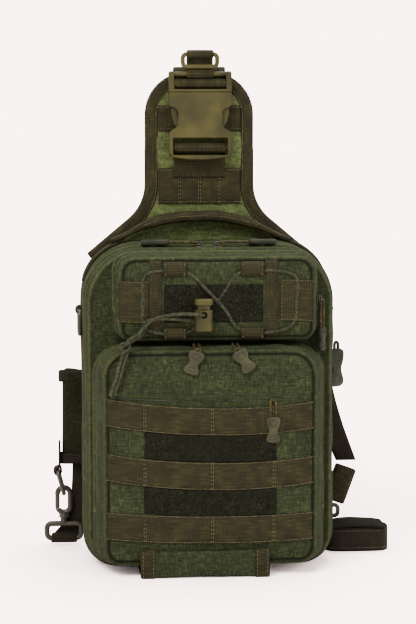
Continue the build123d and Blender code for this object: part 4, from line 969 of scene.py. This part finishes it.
keepers = []
for x0, x1 in (s["loops"][:2], s["loops"][2:]):
    for z0, z1 in ((s["keeperLow"] - 11, s["keeperLow"]), (s["keeperHigh"], s["keeperHigh"] + 13)):
        keepers.append(keeper("keeper", x0, x1, z0, z1))
        for x in (x0 + 1.6, x1 - 1.6):
            sew("upper_flap", [(x, -65.3 - 5.95, z) for z in np.linspace(z0 + 2, z1 - 2, 5)], "pale")
settle(joined("bungee_loops", keepers), "upper_flap", ["bungee_loops"])

loops, low, high, flat, over, lockY = s["loops"], 233.0, 277.0, -67.5, -71.4, -75.2
left, right, middle, lockX, lockHole = -65.0, 78.5, 255.0, -9.0, 243.0
cordRoute = [
    (left + 1, flat - 4.6, low - 3), (left + 7, flat - 6, low + 6), (lockX - 28, lockY - 1.5, lockHole + 1),
    (lockX - 10, lockY - 8.5, lockHole + 1.5), (lockX, lockY - 7, lockHole),
    (lockX + 0.2, lockY + 2, lockHole - 0.5),
    (lockX - 2.5, flat, lockHole - 8), (loops[1] + 4, flat, low - 6.5), (loops[1] - 7, flat, low - 9),
    (loops[0] + 2, flat, low - 8.5), (left + 7, flat, low - 6.5), (left + 1, flat, low - 3),
    (left, flat, low + 7),
    (left, flat, middle), (left, flat, high - 8), (left + 1, flat, high + 1), (left + 8, flat, high + 5),
    (loops[0] + 1, flat, high + 6),
    (loops[1] + 3, flat, high + 5.5), (-6, over, middle + 10), (12, over, middle - 8),
    (loops[2] - 3, flat, low - 7.5), (loops[3] - 3, flat, low - 9), (right - 11, flat, low - 6),
    (right - 3, flat, low + 1), (right - 1, flat, low + 9), (right - 1, flat, middle),
    (right, flat, high - 9),
    (right - 1, flat, high), (right - 10, flat, high + 4.5),
    (loops[3] - 1, flat, high + 6), (loops[2] - 3, flat, high + 5.5), (11, flat, middle + 9),
    (3, flat, middle - 3)]
settle(cordLine("bungee_return", [(-64, -72, 236), (-58, -73, 239), (-42, -75, 239.5), (-30, -75.5, 238.5),
                                  (-21, -74.5, 237.2), (-17, -73.5, 236.6)], s["cord"], cordBraid),
                                  "upper_flap")
settle(cordLine("bungee_cord", cordRoute, s["cord"], cordBraid), "upper_flap", ["bungee_cord"])

knot = (-82.0, -87.6, 215.5)
kx, ky, kz = knot
tailEnds = [(kx - 1, ky - 0.5, kz - 4), (kx - 5.5, ky - 1.2, kz - 18), (kx - 9, ky - 1.0, kz - 32),
            (kx - 13.5, ky - 0.8, kz - 45)]
turns = [(4.2 * math.cos(a), 2.6 * math.sin(2 * a) - 0.6, 3.6 * math.sin(a) + 0.5 * math.cos(3 * a))
         for a in np.linspace(0, math.tau, 9)[:-1]]
overhand = cordLine("knot_turn", [(kx + dx, ky + dy, kz + dz) for dx, dy, dz in turns], s["cord"], cordBraid,
                    True)
second = cordLine("knot_cross", [(kx - 3.4, ky + 1, kz - 3), (kx - 2, ky - 3.4, kz + 1),
                                 (kx + 2.4, ky - 3.6, kz + 3),
                                 (kx + 4, ky + 0.5, kz + 3.4), (kx + 1.5, ky + 3, kz - 1.5),
                                 (kx - 2, ky + 1, kz - 4)],
                  s["cord"], cordBraid)
knotPiece = settle(joined("bungee_knot", [overhand, second]), "front_shell", ["bungee_tail"])
tailPieces = [knotPiece]
for side, d in (("left", 0.0), ("right", 3.8)):
    tail = cordLine(f"bungee_tail_{side}", [(x + d, y, z + 0.6 * d / 3.8) for x, y, z in tailEnds],
                    s["cord"], cordBraid)
    thick, tail.data.bevel_depth = tail.data.bevel_depth, 0.0
    bpy.context.view_layer.update()
    thread = bpy.data.meshes.new_from_object(tail.evaluated_get(bpy.context.evaluated_depsgraph_get()))
    path = [tuple(v.co) for v in thread.vertices]
    tail.data.bevel_depth = thick
    tail = settle(flattened(tail), "front_shell", ["bungee_tail"])
    tailPieces.append(tail)
for piece in tailPieces:
    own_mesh(piece)
strand = cordLine("bungee_strand", [(kx + 2, ky - 1, kz + 2), (kx + 8, ky + 2.5, kz + 6), (-66, -75.6, 224),
                                    (-64.4, -72.6, 228), (-64, -72.1, 230)], s["cord"], cordBraid)
strandTwo = cordLine("bungee_strand_two", [(kx + 1, ky - 2, kz + 3), (kx + 6, ky - 1, kz + 9),
                                           (-70, -80, 224),
                                           (-66, -75, 229), (-63, -72.6, 233)], s["cord"], cordBraid)
settleAcross(joined("bungee_strands", [strand, strandTwo]), "front_shell", "upper_flap", (kx, ky, 221),
             (-64, -72, 229),
             slotName="elastic_cord")
print("upper pocket's face and cord made")


# padded parts: a foam core taken a little smaller than its space, swollen by simulation, then sewn down
padSettings = {"pressure": 4.0, "frames": 20}


def paddedFrom(node, name, voxel, cap, material, body, hold=None):
    copy = bpy.data.objects.new(name, bpy.data.objects[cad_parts[node].name].data.copy())
    bpy.context.scene.collection.objects.link(copy)
    shape = bmesh.new()
    shape.from_mesh(copy.data)
    bmesh.ops.remove_doubles(shape, verts=shape.verts, dist=0.02 * mm)
    shape.to_mesh(copy.data)
    shape.free()
    remesh = copy.modifiers.new("remesh", "REMESH")
    remesh.mode, remesh.voxel_size, remesh.use_smooth_shade = "VOXEL", voxel * mm, True
    pad = flattened(copy)
    rest = np.empty(len(pad.data.vertices) * 3)
    pad.data.vertices.foreach_get("co", rest)
    rest = rest.reshape(-1, 3)
    moved = rest.copy()
    cloth = pad.modifiers.new("swell", "CLOTH")
    cloth.settings.quality = 4
    cloth.settings.use_pressure = True
    cloth.settings.uniform_pressure_force = padSettings["pressure"]
    cloth.settings.effector_weights.gravity = 0.0
    for step in range(1, padSettings["frames"] + 1):
        bpy.context.scene.frame_set(step)
    swollen = pad.evaluated_get(bpy.context.evaluated_depsgraph_get()).data
    moved = np.empty(len(rest) * 3)
    swollen.vertices.foreach_get("co", moved)
    moved = moved.reshape(-1, 3)
    pad.modifiers.clear()
    bpy.context.scene.frame_set(1)
    shift = moved - rest
    length = np.linalg.norm(shift, axis=1)[:, None]
    moved = rest + shift * np.minimum(1, cap * mm / np.maximum(length, 1e-9))
    if hold:
        moved = hold(moved / mm, rest / mm) * mm
    pad.data.vertices.foreach_set("co", moved.ravel())
    finer = pad.modifiers.new("finer", "SUBSURF")
    finer.levels = finer.render_levels = 1
    pad = flattened(pad)
    pad.data.materials.clear()
    pad.data.materials.append(material)
    pad.data.polygons.foreach_set("use_smooth", [True] * len(pad.data.polygons))
    settle(pad, body, [node])
    return pad


yokeHold = {"front": 45.2, "underBand": 46.9, "rear": 57.5, "foot": 300, "cornerTop": 321.5,
            "cornerHalf": 65.5, "cornerSlope": 1.19}


def holdYoke(place, rest):
    # the webbing bands and the binding press the foam flat
    band = ((rest[:, 2] > 335) & (rest[:, 2] < 373)) | ((rest[:, 2] > 405) & (rest[:, 2] < 433))
    s = yokeHold
    place[:, 1] = np.maximum(place[:, 1], np.where(band, s["underBand"], s["front"]))
    place[:, 1] = np.minimum(place[:, 1], s["rear"])
    inward = np.maximum(0, np.abs(place[:, 0] + 4) - np.abs(rest[:, 0] + 4))
    place[:, 0] -= np.sign(place[:, 0] + 4) * inward * (rest[:, 2] > s["foot"])
    place[:, 2] = np.minimum(place[:, 2], np.maximum(rest[:, 2], s["foot"]))
    # its lower corners end inside the binding's slanting line
    reach = s["cornerHalf"] + np.maximum(0, s["cornerTop"] - place[:, 2]) * s["cornerSlope"]
    cut = np.clip(place[:, 0] + 4, -reach, reach) - 4
    place[:, 0] = np.where(place[:, 2] < s["cornerTop"], cut, place[:, 0])
    return place


paddedFrom("yoke_pad", "yoke_pad", 4.5, 5, paintedLightPads, "back_shell", holdYoke)
paddedFrom("back_pads", "back_pads", 4.5, 6, paintedShadePads, "back_shell")


def holdStrap(place, rest):
    # quilting every 60 mm, and nothing pushed forward into the back panel
    quilt = np.abs((rest[:, 2] - 30) % 60 - 30) / 30
    place[:, 1] = np.where(rest[:, 1] > 68, np.minimum(place[:, 1], 72.5 + 5 * quilt ** 0.5), place[:, 1])
    return place


paddedFrom("shoulder_strap_pad", "shoulder_strap_pad", 4.5, 5, paintedShadePads, "back_shell",
           holdStrap)
backBox = {"rear": rim(-116, 116, 0, 300, 50, 30), "face": rim(-111, 111, 5, 295, 46, 27),
           "from": 48, "to": 56, "bulge": -1.5}
backPanel = fabricBox("back_panel", backBox, [
    (46.1, -0.6, 0, -0.3), (46.3, 0.5, 0, 0.3), (49, 0.6, 0.5, 0), (52, 0.6, 0.5, 0), (54.5, 0.4, 0.2, 0),
    (55.7, 0.4, 0, 0.5), (56.1, -0.6, 0, 0.3), (56.0, -1.6, 0, -0.4)], canvas, faceRows=20, wrinkle=0.5,
    seed=41,
    turned=True)
settle(thickened(backPanel, clothWall), "back_shell", ["back_panel"])
lining = fabricBox("back_lining", {**backBox, "from": 60, "to": 46.2, "face": rim(-115, 115, 1, 299, 49, 29),
                                   "bulge": 0.5, "rear": rim(-115, 115, 1, 299, 49, 29)},
                   [(47, 0, 0, 0), (46.2, -0.2, 0, 0)], canvas, faceRows=12, seed=42)
settle(lining, "back_shell")
print("padded parts and back made")


# the yoke's binding and webbing bands
yokeSettings = {"centre": -4, "half": 51, "top": 462, "corner": 40, "waist": 356, "flare": 45, "angle": 50}
s = yokeSettings


def yokeEdge(low):
    half, corner, flare, top = s["half"], s["corner"], s["flare"], s["top"]
    side = []
    a = math.radians(180 + s["angle"])
    start = np.array((half + flare + flare * math.cos(a), s["waist"] + flare * math.sin(a)))
    run = (start[1] - low) / math.sin(math.radians(90 - s["angle"]))
    step = np.array((math.cos(math.radians(90 - s["angle"])), -math.sin(math.radians(90 - s["angle"]))))
    for t in np.linspace(run, 0, 12)[:-1]:
        side.append(start + step * t)
    for a in np.radians(np.linspace(180 + s["angle"], 180, 16)):
        side.append((half + flare + flare * math.cos(a), s["waist"] + flare * math.sin(a)))
    for z in np.arange(s["waist"] + 4, top - corner, 4):
        side.append((half, z))
    for a in np.radians(np.linspace(0, 90, 18)):
        side.append((half - corner + corner * math.cos(a), top - corner + corner * math.sin(a)))
    right = np.array([(x, z) for x, z in side])
    left = right[::-1] * [-1, 1]
    return np.vstack([right, left]) + [s["centre"], 0]


edge = yokeEdge(low=288.0)
tangent = np.gradient(edge, axis=0)
outward = np.column_stack([tangent[:, 1], -tangent[:, 0]])
outward /= np.linalg.norm(outward, axis=1)[:, None]
section = [(-11, 46.6), (-10.6, 45.7), (-7, 45.2), (-3, 45.2), (0, 45.5), (1.0, 46.6), (1.3, 49), (1.3, 53),
           (1.0, 55.4),
           (0, 56.5), (-3, 56.8), (-7, 56.8), (-10.6, 56.3), (-11, 55.4), (-9.6, 54.6), (-9.6, 47.4)]
rings = [[(p[0] + n[0] * d, y, p[1] + n[1] * d) for d, y in section] for p, n in zip(edge, outward)]
binding = loft("yoke_binding", rings, brownWebbing)
settle(binding, "back_shell", ["yoke_binding"])
for d in (-9.4, -2.2):
    sew("back_shell", np.column_stack([edge[:, 0] + outward[:, 0] * d, np.full(len(edge), 45.0),
                                       edge[:, 1] + outward[:, 1] * d]), "edge" if d < -5 else "green")

bands = []
x = np.linspace(-43.4, 35.4, 40)
for mid, width in ((354, 34), (419, 24)):
    y = 45.4 - 0.5 * np.cos((x + 4) / 40 * math.pi / 2)
    bands.append(ribbon("yoke_band", np.column_stack([x, y, np.full(40, mid)]), (0, 0, 1), width, 1.5,
                        brownWebbing))
    for e in (-1, 1):
        sew("back_shell", np.column_stack([x, y - 0.9, np.full(40, mid + e * (width / 2 - 1.6))]), "edge")
for column in (-23, -4, 15):
    for dx in (-0.9, 0.9):
        z = np.linspace(338.5, 369, 14)
        sew("back_shell", np.column_stack([np.full(14, column + dx), np.full(14, 44.0), z]), "pale")


def wrapped(name, profile, centre, width, thickness, material):
    # a band across the width, following a (y, z) profile
    path = smoothPath([(centre, y, z) for y, z in profile], 1.6)
    return ribbon(name, path, (1, 0, 0), width, thickness, material)


bands.append(wrapped("lower_loop", [(44.2, 362), (43.4, 368), (41.6, 375), (40.8, 384), (40.7, 391),
                                    (39.6, 394),
                                    (36.8, 395), (34, 394), (32.8, 391), (34, 388), (36.8, 387), (39.2, 388)],
                     -4, 49.5, 1.7, brownWebbing))
settle(joined("yoke_webbing", bands), "back_shell", ["yoke_webbing"])
upperBands = [
    wrapped("over_strap", [(39.4, 455.4), (36.8, 456), (34.2, 455), (33.2, 452.4), (34.2, 449.9),
                           (36.8, 448.9),
                           (39.4, 449.9), (40.4, 452.4), (40.6, 458), (41.2, 463), (44.5, 466.3), (50, 467.3),
                           (55.6, 466), (57.6, 461), (57.9, 445), (57.9, 425), (57.9, 401)], -4, 49.5, 1.7,
                           brownWebbing),
    wrapped("ring_tab", [(38.9, 464.1), (36.8, 464.8), (34.3, 463.8), (33.4, 461.4), (34.2, 459), (36.8, 458),
                         (39.4, 459), (40.2, 461.4), (40.3, 470), (40.2, 480.1), (39.3, 482.6), (36.8, 483.4),
                         (34.4, 482.5), (33.5, 480.1), (34.3, 477.8), (36.6, 476.9), (38.8, 477.6)],
            -4, 25.4, 1.7, brownWebbing)]
settle(joined("male_webbing", upperBands), "buckle_male", ["male_webbing"])
for dx in (-11.4, 11.4):
    sew("buckle_male", [(-4 + dx, 33.1 if z > 477 else 39.2, z) for z in (466, 469, 472, 475)], "edge")
for name, material in (("buckle_female", acetal), ("buckle_male_frame", acetal),
                       ("buckle_prong_left", acetal),
                       ("buckle_prong_right", acetal), ("top_dring", acetal), ("side_dring_left", darkAcetal),
                       ("side_dring_right", darkAcetal), ("hook_base", darkAcetal), ("snap_hook", darkAcetal),
                       ("hook_gate", darkAcetal), ("hook_ring", darkAcetal), ("keeper_clip", darkAcetal),
                       ("cord_lock_barrel", acetal), ("cord_lock_button", acetal)):
    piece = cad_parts[name]
    piece.data.materials.clear()
    piece.data.materials.append(material)


# the handle: webbing sewn flat at its ends and rolled round in the middle
handleSettings = {"line": [(-90, 302.4), (-76, 308), (-58, 317), (-40, 322.4), (-20, 325), (0, 325.6),
                           (16, 325),
                           (34, 321.6), (50, 316.5), (68, 308.5), (82, 302.4)], "y": 34, "flat": (7.0, 2.4),
                  "round": (6.3, 5.2)}
s = handleSettings
path = smoothPath([(x, s["y"], z) for x, z in s["line"]], 2.2)
tangent = np.gradient(path, axis=0)
tangent /= np.linalg.norm(tangent, axis=1)[:, None]
rings = []
angles = np.radians(np.arange(0, 360, 18))
for k, (p, t) in enumerate(zip(path, tangent)):
    u = k / (len(path) - 1)
    roll = min(1, max(0, (min(u, 1 - u) - 0.1) / 0.16))
    roll = roll * roll * (3 - 2 * roll)
    wide = s["flat"][0] + (s["round"][0] - s["flat"][0]) * roll
    tall = s["flat"][1] + (s["round"][1] - s["flat"][1]) * roll
    up = np.array((-t[2], 0, t[0]))
    power = 0.5 + 0.35 * roll
    rings.append([p + np.array((0, 1, 0)) * wide * squared(math.cos(a), power)
                  + up * tall * squared(math.sin(a), power) for a in angles])
settle(loft("grab_handle", rings, brownWebbing), "grab_handle", ["grab_handle"])
for dy, dz in ((-6.1, 0.6), (-5.4, 3.0)):
    sew("grab_handle", path[8:-8] + [0, dy, dz], "edge" if dz < 1 else "green")

# webbing tabs that hold the side rings, and the tabs over the shoulders
tabs = []
for k in (-1, 1):
    profile = [(117.4, 197), (117.6, 215), (117.5, 229), (117.8, 237), (120.2, 239.6), (122.8, 238.2),
               (123.5, 235.8), (122, 233.4), (119.4, 233.2)]
    tabs.append(ribbon("side_tab", smoothPath([(k * x, 35, z) for x, z in profile], 1.6), (0, 1, 0), 15, 1.5,
                       brownWebbing))
    shoulder = [(84, 300.4), (92, 297), (101, 290.6), (108.6, 282.2), (114.2, 272), (116.4, 264)]
    tabs.append(ribbon("shoulder_tab", smoothPath([(k * x, 35, z) for x, z in shoulder], 2), (0, 1, 0), 18,
                       3.0,
                       brownWebbing))
    for y in (28.8, 41.2):
        sew("back_shell", [(k * 118.5, y, z) for z in np.linspace(198, 229, 12)], "edge")
settle(joined("side_tabs", tabs), "back_shell", ["side_tabs"])
print("yoke, buckle, handle and tabs made")


# zip sliders with their cord pulls: made lying along X, then put in place
pullSettings = {"cord": 2.5, "tabThick": 4.6, "bone": 0.62}


def placed(piece, matrix):
    piece.data.transform(Matrix.Translation(matrix.translation * mm) @ matrix.to_3x3().to_4x4())
    return piece


def axes(origin, xAxis, yAxis, zAxis):
    m = Matrix((xAxis, yAxis, zAxis)).transposed().to_4x4()
    m.translation = origin
    return m


def dogBone(name, length, width, material, top=0.0):
    # a moulded tab that hangs from z = top, waisted, with a raised rim and rounded edges
    thick = pullSettings["tabThick"]
    steps = 26
    rings = []
    for level, grow in ((-0.5, -1.1), (-0.38, -0.25), (-0.2, 0.0), (0.2, 0.0), (0.38, -0.25), (0.5, -1.1)):
        ring = []
        for k in range(2 * steps):
            t = (k % steps) / (steps - 1)
            side = 1 if k < steps else -1
            v = t if side > 0 else 1 - t
            z = v * length
            waist = 1 - (1 - pullSettings["bone"]) * math.exp(-((v - 0.55) / 0.2) ** 2)
            ends = min(1.0, math.sqrt(max(0.0, 1 - max(0, (abs(v - 0.5) - 0.36) / 0.14) ** 2)))
            x = side * (width / 2 * waist * (0.45 + 0.55 * ends) + grow)
            ring.append((x, level * thick, top - 0.35 - (z * (length - 0.7) / length)
                         - 0.4 * grow * (2 * v - 1)))
        rings.append(ring)
    bone = loft(name, rings, material)
    hollows = []
    for face in (-1, 1):
        for down, tall in ((0.24, 0.12), (0.79, 0.11)):
            path = [(width * 0.30 * math.cos(a), face * thick * 0.5,
                     top - length * down + length * tall * math.sin(a))
                     for a in np.linspace(0, math.tau, 13)[:-1]]
            hollows.append(cordLine("rim", path, 1.1, material, True))
    return joined(name, [bone, *hollows])


def cordPull(name, cordLength, tabLength, tabWidth, material, matrix):
    r = 2.6
    route = [(-r * 0.8, 0, -cordLength - 1.5), (-r, 0, -cordLength * 0.6), (-r, 0, -0.5), (-r * 0.6, 0, 1.0),
             (0, 0, 1.4),
             (r * 0.6, 0, 1.0), (r, 0, -0.5), (r, 0, -cordLength * 0.6), (r * 0.8, 0, -cordLength - 1.5)]
    cord = flattened(cordLine("cord", route, pullSettings["cord"], pullBraid))
    bone = dogBone("bone", tabLength, tabWidth, material, -cordLength + 3)
    return placed(joined(name, [cord, bone]), matrix)


def sliderBody(name, size, matrix):
    # two plates, the bridge between them and the arch that the pull hangs on
    length, width, height = size
    parts = []
    for z0, z1, shrink in ((0.0, 0.36, 0.0), (0.62, 1.0, 0.8)):
        rings = []
        for f, e in ((0, 1.0), (0.15, 0.3), (0.5, 0.0), (0.85, 0.3), (1, 1.0)):
            ring = []
            for a in np.radians(np.arange(0, 360, 15)):
                c, sn = math.cos(a), math.sin(a)
                ring.append(((length / 2 - shrink - 0.5 * e) * squared(c, 0.5),
                             (width / 2 - shrink - 0.5 * e) * squared(sn, 0.6),
                             height * (z0 + (z1 - z0) * f)))
            rings.append(ring)
        parts.append(loft("plate", rings, darkAcetal))
    arch = [(-length * 0.32, 0, height * 0.9), (-length * 0.30, 0, height + 1.0), (0, 0, height + 2.0),
            (length * 0.30, 0, height + 1.0), (length * 0.32, 0, height * 0.9)]
    parts.append(cordLine("arch", arch, 1.5, darkAcetal))
    core = [(0, 0, height * 0.2), (0, 0, height * 0.5), (0, 0, height * 0.8)]
    parts.append(cordLine("bridge", core, 3.0, darkAcetal))
    return placed(joined(name, parts), matrix)


alongX, alongY, alongZ = (1, 0, 0), (0, 1, 0), (0, 0, 1)


def facing(origin, degrees):
    # a pull that hangs at the bag's side, turned about the upright
    turn = math.radians(degrees)
    return axes(origin, (math.sin(turn), math.cos(turn), 0), (-math.cos(turn), math.sin(turn), 0), alongZ)


for name, k in (("top_slider_left", -1), ("top_slider_right", 1)):
    body = sliderBody("slider", (9, 8, 3.0), axes((k * 8.5, -18, 300.3), alongX, alongY, alongZ))
    strands = []
    for dy in (-2.3, 2.3):
        strands.append(cordLine("strand", [(k * 9.5, -18, 304.6), (k * 12, -18 + dy * 0.7, 305.0),
                                           (k * 22, -18 + dy * 1.4, 305.4), (k * 33, -17.5 + dy * 1.2, 305.2),
                                           (k * 41, -17 + dy * 0.7, 305.0)], 2.7, pullBraid))
    bone = placed(dogBone("bone", 27, 12.5, darkPull), axes((k * 37, -17, 305.4), alongY, (0, 0, k),
                                                            (-k, 0, 0.03)))
    settle(joined(name, [body, *strands, bone]), name, [name])

lean = {"left": (-15, 20), "right": (21, -33)}
for side, (x, degrees) in lean.items():
    body = sliderBody("slider", (9, 7, 2.8), axes((x, -50, 210.6), alongX, alongY, alongZ))
    strands = [cordLine("strand", [(x + 0.5 * d, -50, 214.6), (x + 0.7 * d, -54, 214.8), (x + d, -62, 213.4),
                                   (x + d, -74, 213.0), (x + d, -83.7, 212.8)], 2.6, pullBraid)
                                   for d in (-2.4, 2.4)]
    settle(joined(f"lower_slider_{side}", [body, *strands]), f"lower_slider_{side}", [f"lower_slider_{side}"])
    a = math.radians(degrees)
    matrix = axes((x, -85.8, 211.1), (math.cos(a), 0, -math.sin(a)), alongY, (math.sin(a), 0, math.cos(a)))
    settle(cordPull(f"lower_pull_{side}", 3, 23, 15.0, greyPull, matrix), f"lower_pull_{side}",
           [f"lower_pull_{side}"])

settle(sliderBody("slip_slider", (9, 4.4, 3.0), axes((54, -82.2, 166), alongX, alongZ, (0, -1, 0))),
       "slip_slider",
       ["slip_slider"])
settle(cordPull("slip_pull", 17, 25, 13.5, greyPull, axes((54, -87.6, 164), alongX, alongY, alongZ)),
       "slip_pull", ["slip_pull"])
body = sliderBody("slider", (9, 7, 2.8), axes((98.4, -46.5, 254), (0, 0, -1), alongY, alongX))
pull = cordPull("pull", 27, 23, 11, darkPull, facing((103.8, -46.5, 252), 35))
settle(joined("upper_slider", [body, pull]), "upper_slider", ["upper_slider"])
settle(sliderBody("main_slider", (10, 8, 3.2), axes((116.4, 19.8, 208), (0, 0, -1), alongY, alongX)),
       "main_slider",
       ["main_slider"])
settle(cordPull("main_pull", 8, 37, 19, darkPull, facing((126.2, 19.8, 203.1), 48)), "main_pull",
       ["main_pull"])
print("zip sliders and pulls made")


# the strap's lower end at the left, and what hangs and lies at the right
path = smoothPath([(-114.5, 71, 92), (-114.8, 71.2, 70), (-117, 71.2, 42), (-124, 71.0, 22), (-132, 70.6, 12),
                   (-136, 69.6, 7.4), (-136, 66, 3.3), (-136, 62.3, 7), (-135.6, 65.5, 10.6),
                   (-134, 69.2, 11)], 2)
ends = [ribbon("strap_web", path, (1, 0, 0), 25, 1.6, paintedShadeWebbing)]
hang = [(-139.85, 103), (-139.9, 88), (-139.9, 79.5), (-138.8, 76.6), (-138.5, 74.2), (-139.6, 72),
        (-141.8, 71.1),
        (-144.1, 72.1), (-145, 74.4), (-144.1, 76.7), (-141.8, 77.6), (-140.8, 78.4)]
ends.append(ribbon("ring_hanger", smoothPath([(x, 66, z) for x, z in hang], 1.5), (0, 1, 0), 16, 1.5,
                   paintedShadeWebbing))
for z, tall in ((86.5, 10), (167.5, 10)):
    ring = [(-107 + 32.6 * squared(math.cos(a), 0.45),
             68.75 + 7.0 * squared(math.sin(a), 0.45), z)
            for a in np.linspace(0, math.tau, 49)[:-1]]
    ends.append(ribbon("sleeve_band", ring, (0, 0, 1), tall, 1.2, paintedShadeWebbing, closed=True))
settle(joined("shoulder_strap_webbing", ends), "back_shell", ["shoulder_strap_webbing"])

path = smoothPath([(109.5, 63, 198), (112.5, 63, 175), (119, 63, 146), (127, 63, 120), (134.6, 63, 100),
                   (142.2, 63, 81.5)], 3)
width = np.interp(path[:, 2], [81, 100, 120, 146, 175, 198], [19.5, 21, 22, 23, 24, 23])
settle(ribbon("strap_tail", path, (1, 0, 0), width, 1.8, paintedShadeWebbing), "back_shell", ["strap_tail"])
loop = [(9.6 * squared(math.cos(a), 0.5), 4.8 * squared(math.sin(a), 0.6), 0)
        for a in np.linspace(0, math.tau, 41)[:-1]]
sleeve = ribbon("webbing_keeper", loop, alongZ, 35, 1.7, brownWebbing, closed=True)
a = math.radians(20)
placed(sleeve, axes((134, 46, 61), (math.cos(a), 0, -math.sin(a)), alongY, (math.sin(a), 0, math.cos(a))))
settle(sleeve, "back_shell", ["webbing_keeper"])
fold = []
for a in np.linspace(0, math.tau, 73)[:-1]:
    c, sn = math.cos(a), math.sin(a)
    fold.append((148 + 29.6 * squared(c, 0.55), 30 + 15.6 * squared(sn, 0.75)
                 + 0.8 * math.sin(3 * a), 11.5))
band = ribbon("floor_band", fold, alongZ, 23, 2.0, paintedShadeWebbing, closed=True)
inner = ribbon("floor_band", [(148 + (p[0] - 148) * 0.93, 30 + (p[1] - 30) * 0.86, 11.2) for p in fold],
               alongZ, 21.5, 1.6,
               paintedShadeWebbing, closed=True)
x = np.linspace(121.5, 174.5, 28)
z = 24.8 - 2.2 * ((x - 148) / 26.5) ** 4 + 0.4 * np.sin(x / 7)
flap = ribbon("floor_flap", np.column_stack([x, np.full(28, 32.0), z]), alongY, 39, 2.8, loopCloth)
settle(joined("floor_webbing", [band, inner, flap]), "back_shell", ["floor_webbing"])
for z in (3.2, 20.0):
    sew("back_shell", [(p[0], p[1] - 0.9, z) for p in fold[38:71]], "edge")
print("straps and ends made")

sewAll()

# pale floor that only catches the shadow, soft studio light, camera
studio = {"floor": "#fbf3f1", "floorHalf": 9000, "floorDrop": 0.2, "keyWatts": 125, "fillWatts": 55,
          "topWatts": 60,
          "sky": 1.8, "backdrop": 8.5, "wall": "#ffeae4"}
floorMaterial, _, floorShader = startMaterial("paleFloor", {"Roughness": 0.9, "Specular IOR Level": 0.1})
floorShader.inputs["Base Color"].default_value = hexColour(studio["floor"])
corners = [(x * studio["floorHalf"], y * studio["floorHalf"], -studio["floorDrop"])
           for x, y in ((-1, -1), (1, -1), (1, 1), (-1, 1))]
floor = makeMesh("floor", corners, [[0, 1, 2, 3]], floorMaterial)
floor.is_shadow_catcher = True


def softLight(name, place, target, size, watts, colour):
    lamp = bpy.data.lights.new(name, "AREA")
    lamp.shape, lamp.size, lamp.energy, lamp.color = "DISK", size, watts, hexColour(colour)[:3]
    holder = bpy.data.objects.new(name, lamp)
    bpy.context.scene.collection.objects.link(holder)
    holder.location = place
    holder.rotation_euler = (Vector(target) - Vector(place)).to_track_quat("-Z", "Y").to_euler()


softLight("keyLight", (-0.9, -1.5, 1.9), (0, 0, 0.2), 1.2, studio["keyWatts"], "#fffaf4")
softLight("fillLight", (1.5, -1.6, 1.0), (0, 0, 0.2), 1.6, studio["fillWatts"], "#f6f8ff")
softLight("topLight", (0.2, 0.4, 2.0), (0, 0, 0.25), 1.2, studio["topWatts"], "#ffffff")
# the room is seen brighter than it lights the bag
world = bpy.data.worlds.new("studioWorld")
world.use_nodes = True
room = world.node_tree
seen = addNode(room, "ShaderNodeLightPath", out=0)
strength = addNode(room, "ShaderNodeMapRange", {0: seen, 3: studio["sky"], 4: studio["backdrop"]})
room.links.new(strength, room.nodes["Background"].inputs["Strength"])
room.nodes["Background"].inputs["Color"].default_value = hexColour(studio["wall"])
bpy.context.scene.world = world

view = {"azimuth": -4.5, "elevation": 6.5, "distance": 2.2, "target": (0, -0.010, 0.238), "lens": 134.3}
camera = bpy.data.cameras.new("camera")
camera.lens, camera.sensor_width, camera.sensor_fit = view["lens"], 36, "AUTO"
turn, rise = math.radians(view["azimuth"]), math.radians(view["elevation"])
target = Vector(view["target"])
away = Vector((math.sin(turn) * math.cos(rise), -math.cos(turn) * math.cos(rise), math.sin(rise)))
holder = bpy.data.objects.new("camera", camera)
bpy.context.scene.collection.objects.link(holder)
holder.location = target + away * view["distance"]
holder.rotation_euler = (-away).to_track_quat("-Z", "Y").to_euler()
bpy.context.scene.camera = holder
